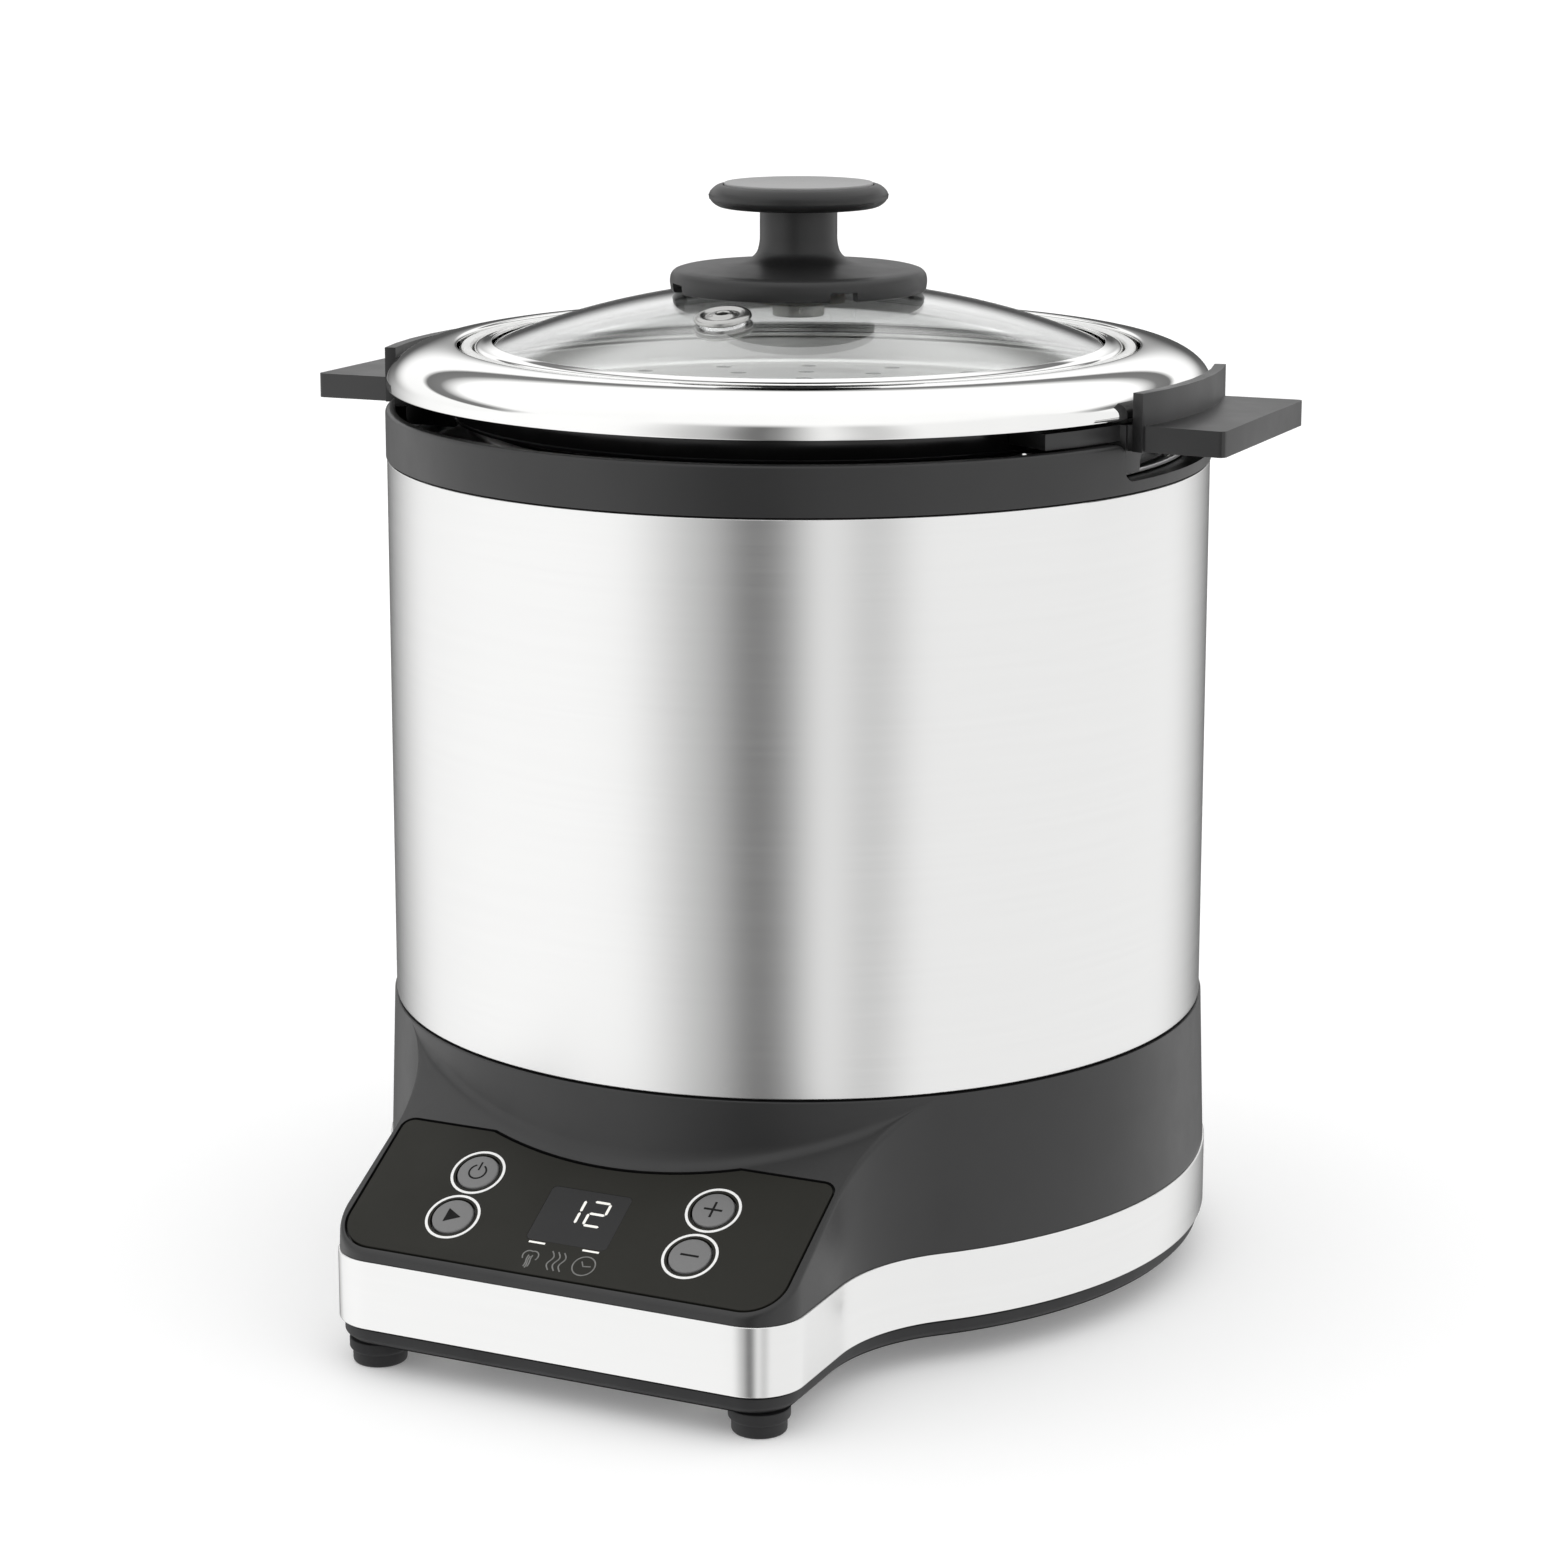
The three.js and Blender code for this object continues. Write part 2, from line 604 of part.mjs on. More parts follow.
function addLiner() {
  const inner = linerRadius - linerSheet;
  const section = [
    [heater.bore + 2, linerFloor], [linerRadius - 3, linerFloor], [linerRadius, linerFloor + 3],
    [linerRadius, linerLip], [ledgeInner + 3, linerLip], [ledgeInner + 3, linerLip + linerSheet],
    [inner, linerLip + linerSheet], [inner, linerFloor + 3.4], [linerRadius - 3.4, linerFloor + linerSheet],
    [heater.bore + 2, linerFloor + linerSheet],
  ];
  add('inner_liner', turned(section), finishes.aluminium);
}

function addHeater() {
  const { bore } = heater;
  const radius = potRadius - heater.inset;
  const section = [
    [bore, heaterLow], [radius - 8, heaterLow], [radius, heaterLow + 7], [radius, heaterTop - 2],
    [radius * 0.6, heaterTop], [bore + 1, heaterTop], [bore, heaterTop - 1],
  ];
  add('heater_plate', turned(section), finishes.aluminium);
  const fuse = new THREE.CylinderGeometry(1.8, 1.8, 12, coarse).rotateZ(Math.PI / 2).translate(0, 46, linerFloor - 3);
  add('thermal_fuse', fuse, finishes.brass);
}

function addThermostat() {
  const { radius, sheet, stem, length, travel } = plunger;
  const skirtLow = plungerTop - plunger.skirt;
  const section = [
    [0, plungerTop], [radius - 1, plungerTop], [radius, plungerTop - 1], [radius, skirtLow],
    [radius - sheet, skirtLow], [radius - sheet, plungerTop - sheet], [stem, plungerTop - sheet],
    [stem, plungerTop - length], [0, plungerTop - length],
  ];
  add('thermostat_plunger', turned(section, medium), finishes.aluminium);
  const seat = plungerTop - length - travel;
  const under = linerFloor - gap;
  const holder = [
    [stem + gap, seat - sheet], [radius + sheet + 0.2, seat - sheet], [radius + sheet + 0.2, under - sheet],
    [heater.bore + 6, under - sheet], [heater.bore + 6, under], [radius + 0.2, under],
    [radius + 0.2, seat], [stem + gap, seat],
  ];
  add('thermostat_holder', turned(holder, medium), finishes.brushedSteel);
  const low = seat + gap + springWire;
  const high = plungerTop - sheet - gap - springWire;
  const steps = springTurns * 10;
  const turns = Array.from({ length: steps + 1 }, (_, i) => {
    const angle = (i / steps) * springTurns * 2 * Math.PI;
    const z = low + ((high - low) * i) / steps;
    return new THREE.Vector3(springRadius * Math.cos(angle), springRadius * Math.sin(angle), z);
  });
  add('thermostat_spring', tube(new THREE.CatmullRomCurve3(turns), springWire, steps, 5), finishes.brushedSteel);
}

// ---------- pot ----------

// The flange falls away from its inner edge along a quarter of an ellipse.
function flangeCurve(inner, outer, top, edge, steps) {
  return Array.from({ length: steps + 1 }, (_, i) => {
    const angle = (i / steps) * (Math.PI / 2);
    return [inner + (outer - inner) * Math.sin(angle), edge + (top - edge) * Math.cos(angle)];
  });
}

function addPot() {
  const inside = potRadius - potWall;
  const floorTop = potFloor + potFloorThickness;
  const round = potBottomCorner;
  const innerCorner = arc(inside - round + potWall, floorTop + round - potWall, round - potWall, -90, 0, 30);
  const outerCorner = arc(potRadius - round, potFloor + round, round, 0, -90, 30);
  const { sheet } = flange;
  const section = [
    [0, floorTop], ...innerCorner.map((p) => [p.x, p.y]),
    [inside, mouthLedge - 0.6], [inside + 0.6, mouthLedge], [mouthRadius, mouthLedge], [mouthRadius, flangeTop - 1],
    ...flangeCurve(flangeInner, flangeOuter, flangeTop, flangeEdge, 6), [flangeOuter, flangeEdge - 0.6],
    ...flangeCurve(flangeInner + sheet, flangeOuter - sheet, flangeTop - sheet, flangeEdge - 0.6, 4).reverse(),
    [mouthRadius + sheet, flangeTop - sheet - 1], [mouthRadius + sheet, mouthLedge - sheet],
    [potRadius, mouthLedge - sheet], ...outerCorner.map((p) => [p.x, p.y]), [0, potFloor],
  ];
  add('inner_pot', turned(section), finishes.polishedSteel);
  const hug = potRadius + gap;
  const band = [
    [hug, collarLow], [collarOuter - collar.round, collarLow],
    [collarOuter - collar.round * 0.3, collarLow + collar.round * 0.3],
    [collarOuter, collarLow + collar.round], [collarOuter, collarHigh], [hug, collarHigh],
  ];
  add('pot_collar', turned(band), finishes.nonStick);
}

function sector(inner, outer, low, high, halfAngle) {
  const outline = [...arc(0, 0, outer, -halfAngle, halfAngle, 6), ...arc(0, 0, inner, halfAngle, -halfAngle, 6)];
  return slab(outline, low, high);
}

// One handle, pointing along +X: grip plate, upstand round the flange, arms under it and a leg in the ring's notch.
const handleWeb = shellRadius - handleLeg.web - 0.6;
const legLow = linerLip + linerSheet + gap + 0.1;
const legHalfWidth = handle.halfWidth - handleLeg.inset;

function handleSolid() {
  const { halfWidth, corner } = handle;
  const tip = shellRadius + handle.reach;
  const legOuter = ringRadius - 0.8;
  const reach = THREE.MathUtils.radToDeg(Math.asin(halfWidth / upstandInner));
  const plate = slab([
    ...arc(tip - corner, corner - halfWidth, corner, -90, 0, 30),
    ...arc(tip - corner, halfWidth - corner, corner, 0, 90, 30),
    ...arc(0, 0, legOuter - 3, reach, -reach, 6),
  ], handleLow, handleHigh);
  const upstandOuter = upstandInner + handleUpstand.thickness;
  const upstand = sector(upstandInner, upstandOuter, handleLow, handleHigh + handleUpstand.height, reach - 0.4);
  const hug = collarOuter + gap;
  const armOuter = flangeOuter - handleArm.inset;
  const arms = sector(hug, armOuter, armLow, armLow + handleArm.thickness, handleArm.halfAngle);
  const leg = common(
    sector(hug, legOuter, legLow, handleHigh, 40),
    block(0, tip, -legHalfWidth, legHalfWidth, 0, 2 * handleHigh),
  );
  const archHalf = legHalfWidth - handleLeg.rib;
  const archTop = handleLow - 0.4;
  const arch = slab([
    point(-archHalf, legLow - 5), point(archHalf, legLow - 5),
    ...arc(archHalf - 2, archTop - 2, 2, 0, 90, 30), ...arc(2 - archHalf, archTop - 2, 2, 90, 180, 30),
  ], handleWeb, tip + 5).rotateX(Math.PI / 2).rotateZ(Math.PI / 2);
  return cut(join(plate, upstand, arms, leg), arch);
}

function addHandles() {
  add('pot_handle_right', handleSolid(), finishes.blackPlastic);
  add('pot_handle_left', handleSolid().rotateZ(Math.PI), finishes.blackPlastic);
  const screw = turned([[0, 0], [1.7, 0], [1.7, 1.2], [0.9, 1.2], [0.9, 1.8], [0, 1.8]], coarse);
  for (const [name, side] of [['right', 0], ['left', Math.PI]]) {
    const seated = screw.clone().rotateY(-Math.PI / 2).translate(handleWeb + gap + 1.8, 0, handleLow - 2.4);
    add(`handle_screw_${name}`, seated.rotateZ(side), finishes.brushedSteel);
  }
}

// ---------- steamer ----------

function addSteamer() {
  const { sheet } = steamer;
  const [well, floor, top, seat] = [steamerWell, steamerFloor, steamerTop, steamerSeat];
  const throat = potRadius - potWall - gap;
  const section = [
    [0, floor], [well - 2, floor], [well, floor + 2], [well, steamerLedge], [rimInner, steamerLedge + gap],
    [rimInner, top - 0.6], [rimInner + 0.6, top], [beadOuter - 0.5, top], [beadOuter, top - 0.6],
    [beadOuter, seat + 0.6], [beadOuter - 0.6, seat], [throat, seat], [throat, seat - 0.9],
    [well + sheet, seat - 1.2], [well + sheet, floor + 1.2], [well - 1, floor - sheet], [0, floor - sheet],
  ];
  const tray = turned(section);
  const drills = [];
  for (let row = 0; row < steamerHoles.rows; row += 1) {
    const angle = THREE.MathUtils.degToRad(steamerHoles.start + (row * 360) / steamerHoles.rows);
    const { fromWall, pitch, rings, centreRing } = steamerHoles;
    const outward = Array.from({ length: rings }, (_, ring) => steamerWell - fromWall - ring * pitch);
    for (const distance of row % 2 ? outward : [...outward, centreRing]) {
      const drill = disc(steamerHoles.radius, floor - 3, floor + 1, 4);
      drills.push(drill.translate(distance * Math.cos(angle), distance * Math.sin(angle), 0));
    }
  }
  add('steamer_insert', cut(tray, ...drills), finishes.polishedSteel);
}

// ---------- lid ----------

// Puts a piece made about Z on the dome, square to it, straight in front of the knob.
function ventPlace(geometry) {
  const tilt = Math.asin(vent.distance / glassSphere);
  return geometry.rotateX(tilt).translate(0, -vent.distance, glassHeight(vent.distance));
}

function addLidGlass() {
  const spots = [0, 0.25, 0.5, 0.75, 1].map((share) => {
    return glass.bore + (glassRadius - glass.bore) * share;
  });
  const section = [
    ...spots.map((distance) => [distance, glassHeight(distance)]),
    ...spots.toReversed().map((distance) => [distance, glassHeight(distance) - glass.thickness]),
  ];
  const hole = ventPlace(disc(vent.bore + gap, -10, 10, coarse));
  add('lid_glass', cut(turned(section), hole), finishes.clearGlass);
  const inner = glassRadius - lidRim.lap;
  const channel = glassRadius + gap;
  const over = glassHeight(inner) + gap;
  const rim = [
    [inner, rimLow], [rimOuter - 0.5, rimLow], [rimOuter, rimLow + 0.6], [rimOuter, glassEdge + 0.4],
    [channel - 0.4, glassEdge + 1], [inner, over + 0.6], [inner, over], [channel, glassEdge + 0.2],
    [channel, rimLow + 0.6], [inner, rimLow + 0.6],
  ];
  add('lid_rim', turned(rim), finishes.polishedSteel);
  const { radius, bore, hole: opening, lip } = vent;
  const under = -glass.thickness - gap;
  const grommet = turned([
    [opening, under - lip], [radius, under - lip], [radius, under], [bore, under], [bore, gap],
    [radius, gap], [radius - 0.5, gap + lip], [opening, gap + lip],
  ], coarse);
  add('vent_grommet', ventPlace(grommet), finishes.polishedSteel);
}

function addKnob() {
  const { radius, skirt } = knobBase;
  const low = glassHeight(radius - skirt) + knobBase.clearance;
  const shoulder = low + knobBase.shoulder;
  const crown = low + knobBase.crown;
  const stemTop = crown + knobStem.height;
  const gripTop = knobGripLow + knobGrip.thickness;
  const seat = glassHeight(0) + gap;
  const shell = turned([
    [glass.bore, seat + 1.2], [10, seat + 1.2], [10, seat + 0.9], [radius - skirt - 0.4, low + 1.9],
    [radius - skirt - 0.5, low], [radius - 0.5, low], [radius, low + 2.1], [radius - 0.4, shoulder - 0.7],
    [radius - 1.6, shoulder], [knobStem.foot + 1, crown - 0.7], [knobStem.foot, crown - 0.2],
    [knobStem.radius + 0.5, crown + 0.9], [knobStem.radius, crown + 2.2], [knobStem.radius, stemTop],
    [glass.bore, stemTop],
  ], medium);
  const notches = Array.from({ length: knobNotch.count }, (_, i) => {
    const tool = block(radius - 5, radius + 5, -knobNotch.width / 2, knobNotch.width / 2, low - 20, low + knobNotch.height);
    return tool.rotateZ(((i + 0.5) * 2 * Math.PI) / knobNotch.count);
  });
  add('knob_base', cut(shell, ...notches), finishes.blackPlastic);
  const capRadius = knobGrip.radius - knobCap.rim;
  const seatCap = gripTop - knobCap.sheet;
  const grip = turned([
    [0, knobGripLow], [knobGrip.under, knobGripLow], [knobGrip.radius - 0.4, knobGripLow + 1],
    [knobGrip.radius, knobGripLow + 2.2], [knobGrip.radius - 0.5, gripTop - 1],
    [knobGrip.radius - 1.6, gripTop - 0.1], [capRadius + 0.2, gripTop],
    [capRadius + 0.2, seatCap - gap], [0, seatCap - gap],
  ], medium);
  add('knob_grip', grip, finishes.blackPlastic);
  const cap = turned([
    [0, seatCap], [capRadius, seatCap], [capRadius, gripTop + knobCap.proud - 0.4],
    [capRadius - 0.4, gripTop + knobCap.proud - 0.2], [0, gripTop + knobCap.proud],
  ], medium);
  add('knob_cap', cap, finishes.capGrey);
  add('knob_gasket', hoop(glass.bore + 0.4, 9, seat, seat + 0.9, coarse), finishes.silicone);
  const under = glassHeight(9) - glass.thickness - gap;
  add('lid_washer', hoop(glass.bore + 0.4, 9, under - 1.6, under, coarse), finishes.silicone);
  const head = under - 1.6 - gap;
  const screw = turned([
    [0, head - 2], [4.2, head - 2], [5, head - 1.2], [5, head], [glass.bore - 0.7, head],
    [glass.bore - 0.7, stemTop - 2], [0, stemTop - 2],
  ], coarse);
  add('knob_screw', screw, finishes.brushedSteel);
}

addBasePlate();
addFeet();
addBaseScrews();
addTrimBand();
addBaseHousing();
addPanel();
addButtons();
addControlBoard();
addPowerBoard();
addPowerInlet();
addHeaterLeads();
addShell();
addTopRing();
addLiner();
addHeater();
addThermostat();
addPot();
addHandles();
addSteamer();
addLidGlass();
addKnob();

cooker.position.y = (plan.front - inletFace - inlet.flange) / 2;

export default cooker;
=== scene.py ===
"""A countertop slow cooker with a lift-out pot, a steamer insert and a glass lid.

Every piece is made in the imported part's own frame, in metres, and rides on one of its bodies.
Sections are worked out in millimetres about the upright axis of the pot.
"""

import math

import bmesh
import bpy
import numpy as np
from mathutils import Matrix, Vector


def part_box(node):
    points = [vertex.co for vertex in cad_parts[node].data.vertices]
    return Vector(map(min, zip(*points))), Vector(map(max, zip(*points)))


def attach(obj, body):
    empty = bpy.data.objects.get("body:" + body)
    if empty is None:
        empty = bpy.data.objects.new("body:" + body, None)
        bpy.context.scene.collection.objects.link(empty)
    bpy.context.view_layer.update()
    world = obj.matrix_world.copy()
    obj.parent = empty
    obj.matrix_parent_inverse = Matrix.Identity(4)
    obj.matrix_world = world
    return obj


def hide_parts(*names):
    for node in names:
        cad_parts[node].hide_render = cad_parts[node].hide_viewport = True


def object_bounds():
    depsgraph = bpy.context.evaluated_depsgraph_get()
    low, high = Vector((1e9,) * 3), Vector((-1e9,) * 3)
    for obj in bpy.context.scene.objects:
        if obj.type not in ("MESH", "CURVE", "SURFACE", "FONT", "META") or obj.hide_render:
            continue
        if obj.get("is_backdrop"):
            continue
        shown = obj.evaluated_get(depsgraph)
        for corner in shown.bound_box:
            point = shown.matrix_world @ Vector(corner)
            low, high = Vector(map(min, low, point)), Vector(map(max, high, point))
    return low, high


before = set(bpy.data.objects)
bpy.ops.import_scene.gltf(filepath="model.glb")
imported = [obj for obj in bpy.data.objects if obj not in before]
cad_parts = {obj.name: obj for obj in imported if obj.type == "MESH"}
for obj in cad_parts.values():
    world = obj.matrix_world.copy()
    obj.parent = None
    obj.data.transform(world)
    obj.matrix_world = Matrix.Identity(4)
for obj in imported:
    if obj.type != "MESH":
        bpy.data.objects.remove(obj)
cad_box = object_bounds()

# ---------------------------------------------------------------- rubber feet
# Four moulded rubber feet. Each is a short round plug with a wider collar where it meets the plate, a
# rounded tread and a shallow ring in its sole. They are pushed into the base plate from below.

MM = 0.001
SAME_PLACE = 1e-7  # metres
axis_y = float(np.mean([corner[1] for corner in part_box("outer_shell")])) / MM
FOOT_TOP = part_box("foot_front_left")[1][2] / MM


def rounded(corners, steps=6):
    """Section line through corners given as (distance, height, setback). Where the setback is above nought
    the corner becomes the curve (1-t)^2 a + 2t(1-t) c + t^2 b, with a and b that far along its two sides.
    The line is closed: the last corner runs back to the first."""
    corners = np.array([(c + (0.0,))[:3] for c in corners], float)
    at, back = corners[:, :2], corners[:, 2:]
    before, after = np.roll(at, 1, axis=0) - at, np.roll(at, -1, axis=0) - at
    reach = lambda side: side / np.maximum(np.linalg.norm(side, axis=1, keepdims=True), 1e-9)
    first = at + reach(before) * back
    last = at + reach(after) * back
    t = np.linspace(0, 1, steps)[None, :, None]
    line = (1 - t) ** 2 * first[:, None] + 2 * t * (1 - t) * at[:, None] + t**2 * last[:, None]
    line = line.reshape(-1, 2)
    return line[np.linalg.norm(line - np.roll(line, 1, axis=0), axis=1) > 1e-6]


def grid_faces(rows, columns, wrap_rows=True, wrap_columns=True):
    """Four-sided faces of a grid of rows x columns points, closed in either direction where asked."""
    row = np.arange(rows if wrap_rows else rows - 1)[:, None]
    column = np.arange(columns if wrap_columns else columns - 1)[None, :]
    next_row, next_column = (row + 1) % rows, (column + 1) % columns
    corners = (row * columns + column, next_row * columns + column,
               next_row * columns + next_column, row * columns + next_column)
    return np.stack(np.broadcast_arrays(*corners), axis=-1).reshape(-1, 4)


def capped_faces(rows, columns):
    """The faces of a grid whose columns close up, with its first and last rows filled in as flat ends."""
    ends = [tuple(range(columns)), tuple(range((rows - 1) * columns, rows * columns))]
    return grid_faces(rows, columns, wrap_rows=False).tolist() + ends


def new_solid(name, points, faces):
    """Puts points (millimetres about the axis) and faces into a new object, joins points that coincide and
    turns every face outwards."""
    mesh = bpy.data.meshes.new(name)
    points = (np.asarray(points, float).reshape(-1, 3) + (0.0, axis_y, 0.0)) * MM
    mesh.from_pydata(points.tolist(), [], faces.tolist() if isinstance(faces, np.ndarray) else faces)
    work = bmesh.new()
    work.from_mesh(mesh)
    bmesh.ops.remove_doubles(work, verts=work.verts, dist=SAME_PLACE)
    bmesh.ops.recalc_face_normals(work, faces=work.faces)
    work.to_mesh(mesh)
    work.free()
    solid = bpy.data.objects.new(name, mesh)
    bpy.context.scene.collection.objects.link(solid)
    return solid


def make_piece(name, points, faces, body, finish, slot, *nodes, crease=32.0):
    """A solid with its finish, smoothed where edges are flatter than the crease angle, riding on its body."""
    piece = new_solid(name, points, faces)
    smooth(piece, crease)
    piece.data.materials.append(finish)
    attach(piece, body)
    if nodes:
        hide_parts(*nodes)
    return piece


def smooth(piece, crease=32.0):
    """Smooth shading, with edges sharper than the crease angle kept crisp."""
    piece.data.polygons.foreach_set("use_smooth", np.ones(len(piece.data.polygons), bool))
    piece.data.set_sharp_from_angle(angle=math.radians(crease))


def spin_points(section, turns):
    """A section line (distance, height) carried round the axis: point = (d cos a, d sin a, h)."""
    angle = turns if isinstance(turns, np.ndarray) else np.arange(turns) * (2 * np.pi / turns)
    angle = angle[:, None]
    distance, height = section[:, 0][None], section[:, 1][None]
    return np.stack(np.broadcast_arrays(distance * np.cos(angle), distance * np.sin(angle), height),
                    axis=-1)


def spin(name, section, body, finish, slot, *nodes, turns=128, at=(0.0, 0.0), crease=32.0):
    """A closed section turned round an upright line at the given place."""
    points = spin_points(section, turns) + (at[0], at[1], 0.0)
    faces = grid_faces(points.shape[0], points.shape[1])
    return make_piece(name, points, faces, body, finish, slot, *nodes, crease=crease)


def new_finish(name, colour, roughness, metallic=0.0, **sockets):
    """A material with one Principled shader whose plain numbers sit on its own sockets."""
    finish = bpy.data.materials.new(name)
    finish.use_nodes = True
    shader = finish.node_tree.nodes["Principled BSDF"]
    shader.inputs["Base Color"].default_value = (*colour, 1.0)
    shader.inputs["Roughness"].default_value = roughness
    shader.inputs["Metallic"].default_value = metallic
    for socket, value in sockets.items():
        shader.inputs[socket.replace("_", " ")].default_value = value
    finish.diffuse_color = (*colour, 1.0)
    return finish, finish.node_tree, shader


def add_node(tree, kind, options=None, **sockets):
    """Adds a node, sets its options, and fills its sockets with numbers or with links from other nodes."""
    node = tree.nodes.new("ShaderNode" + kind)
    for option, value in (options or {}).items():
        setattr(node, option, value)
    for socket, value in sockets.items():
        fill(tree, value, node.inputs[socket.replace("_", " ")])
    return node


def fill(tree, value, socket):
    """Links another node's output to a socket, or sets the socket to a number."""
    if isinstance(value, bpy.types.NodeSocket):
        tree.links.new(value, socket)
    else:
        socket.default_value = value


def maths(tree, operation, *values):
    """One step of maths on numbers or links."""
    node = add_node(tree, "Math", {"operation": operation})
    for socket, value in zip(node.inputs, values):
        fill(tree, value, socket)
    return node.outputs[0]


def remap(tree, value, source, target=(0.0, 1.0), shape="LINEAR"):
    """Carries a value from one range to another, held at both ends."""
    node = add_node(tree, "MapRange", {"interpolation_type": shape}, Value=value)
    for key, limit in zip(("From Min", "From Max", "To Min", "To Max"), (*source, *target)):
        fill(tree, limit, node.inputs[key])
    return node.outputs["Result"]


def new_group(name, inputs, outputs):
    """An empty node group with named sockets, and its two end nodes."""
    group = bpy.data.node_groups.new(name, "ShaderNodeTree")
    for label, (kind, value) in inputs.items():
        socket = group.interface.new_socket(label, in_out="INPUT", socket_type="NodeSocket" + kind)
        if value is not None:
            socket.default_value = value
    for label, kind in outputs.items():
        group.interface.new_socket(label, in_out="OUTPUT", socket_type="NodeSocket" + kind)
    return group, group.nodes.new("NodeGroupInput"), group.nodes.new("NodeGroupOutput")


NOISE_RANGE = (0.3, 0.7)  # where nearly all of a noise texture's values lie


def make_mottle():
    """Slow uneven haze: a three-octave noise stretched from Low to High. It varies gloss and tone."""
    group, ins, outs = new_group("slow_mottle", {"Vector": ("Vector", None), "Scale": ("Float", 60.0),
                                 "Low": ("Float", 0.3), "High": ("Float", 0.5)}, {"Value": "Float"})
    noise = add_node(group, "TexNoise", None, Vector=ins.outputs["Vector"], Scale=ins.outputs["Scale"],
                     Detail=3.0, Roughness=0.55)
    spread = remap(group, noise.outputs[0], NOISE_RANGE, (ins.outputs["Low"], ins.outputs["High"]))
    group.links.new(spread, outs.inputs["Value"])
    return group


def make_mould_grain():
    """Spark-eroded mould texture: rounded cells with a finer noise over them. Height goes to a Bump node,
    and Tone is a mask that is lighter in the hollows."""
    group, ins, outs = new_group("mould_grain", {"Vector": ("Vector", None), "Scale": ("Float", 2600.0)},
                                 {"Height": "Float", "Tone": "Float"})
    cells = add_node(group, "TexVoronoi", {"feature": "SMOOTH_F1"}, Vector=ins.outputs["Vector"],
                     Scale=ins.outputs["Scale"], Smoothness=0.6)
    finer = maths(group, "MULTIPLY", ins.outputs["Scale"], 2.3)
    noise = add_node(group, "TexNoise", None, Vector=ins.outputs["Vector"], Scale=finer, Detail=2.0)
    height = maths(group, "MULTIPLY_ADD", noise.outputs[0], 0.5, cells.outputs["Distance"])
    group.links.new(height, outs.inputs["Height"])
    group.links.new(cells.outputs["Distance"], outs.inputs["Tone"])
    return group


def place(tree):
    """The piece's own coordinates, in metres."""
    return add_node(tree, "TexCoord").outputs["Object"]


def mottle(tree, scale, low, high):
    """A value between low and high that changes slowly over the surface."""
    node = add_node(tree, "Group", {"node_tree": MOTTLE}, Vector=place(tree), Scale=scale, Low=low,
                    High=high)
    return node.outputs["Value"]


def bump(tree, shader, height, strength, depth):
    """Joins a height to the shader's normal; depth is the height's full relief in metres."""
    node = add_node(tree, "Bump", None, Strength=strength, Distance=depth, Height=height)
    tree.links.new(node.outputs["Normal"], shader.inputs["Normal"])


def two_tone(tree, shader, mask, dark, light):
    """Base colour between two close tones, by a mask."""
    mix = add_node(tree, "Mix", {"data_type": "RGBA"})
    tree.links.new(mask, mix.inputs["Factor"])
    colours = [socket for socket in mix.inputs if socket.type == "RGBA"]
    colours[0].default_value = (*dark, 1.0)
    colours[1].default_value = (*light, 1.0)
    result = [socket for socket in mix.outputs if socket.type == "RGBA"][0]
    tree.links.new(result, shader.inputs["Base Color"])


def moulded(name, dark, light, gloss, scale=2600.0, relief=0.000012, strength=0.35, **sockets):
    """Moulded plastic or rubber: two close tones, grain in the normal, and gloss that drifts a little."""
    finish, tree, shader = new_finish(name, light, gloss[1], **sockets)
    grain = add_node(tree, "Group", {"node_tree": MOULD_GRAIN}, Vector=place(tree), Scale=scale)
    bump(tree, shader, grain.outputs["Height"], strength, relief)
    two_tone(tree, shader, mottle(tree, 35.0, 0.0, 1.0), dark, light)
    tree.links.new(mottle(tree, 90.0, *gloss), shader.inputs["Roughness"])
    return finish


MOTTLE = make_mottle()
MOULD_GRAIN = make_mould_grain()
rubber = moulded("foot_rubber", (0.010, 0.010, 0.011), (0.016, 0.016, 0.017), (0.62, 0.78), 1500.0, 0.00003,
                 0.5)
foot_section = rounded([
    (0.0, 0.35), (2.6, 0.35), (2.9, 0.0, 0.1), (5.0, 0.0, 0.7), (5.0, 2.4, 0.3), (5.6, 2.8, 0.3),
    (5.6, FOOT_TOP, 0.2), (0.0, FOOT_TOP),
])
foot_at = {}
for spot in ("front_left", "front_right", "rear_left", "rear_right"):
    low, high = np.array(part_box("foot_" + spot)) / MM
    foot_at[spot] = ((low[0] + high[0]) / 2, (low[1] + high[1]) / 2 - axis_y)
    spin("sole_" + spot, foot_section, "base", rubber, "rubber_feet", "foot_" + spot, turns=72,
         at=foot_at[spot])

# ---------------------------------------------------------------- base plate and its screws
# The flat black plate under the cooker, moulded in the same outline as the trim band, a round body with
# a box-shaped nose. Slots let cooling air in. Four zinc-plated cross-head screws hold it to the housing.

plate_low, plate_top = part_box("base_plate")[0][2] / MM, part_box("base_plate")[1][2] / MM
ROUND = 81.7
FRONT = -107.6
NOSE_HALF = 46.6
NOSE_CORNER = 9.5
FLANK = 32.0
flank_x = NOSE_HALF + FLANK
flank_y = -math.sqrt((ROUND + FLANK) ** 2 - flank_x**2)
flank_turn = math.atan2(-flank_y, flank_x)


def arc_points(x, y, radius, start, end, count):
    """Points and outward directions of an arc: (x, y) + radius (cos a, sin a)."""
    a = np.linspace(start, end, count)
    way = np.stack([np.cos(a), np.sin(a)], axis=1)
    return np.hstack([np.array([x, y]) + radius * way, way * np.sign(radius)])


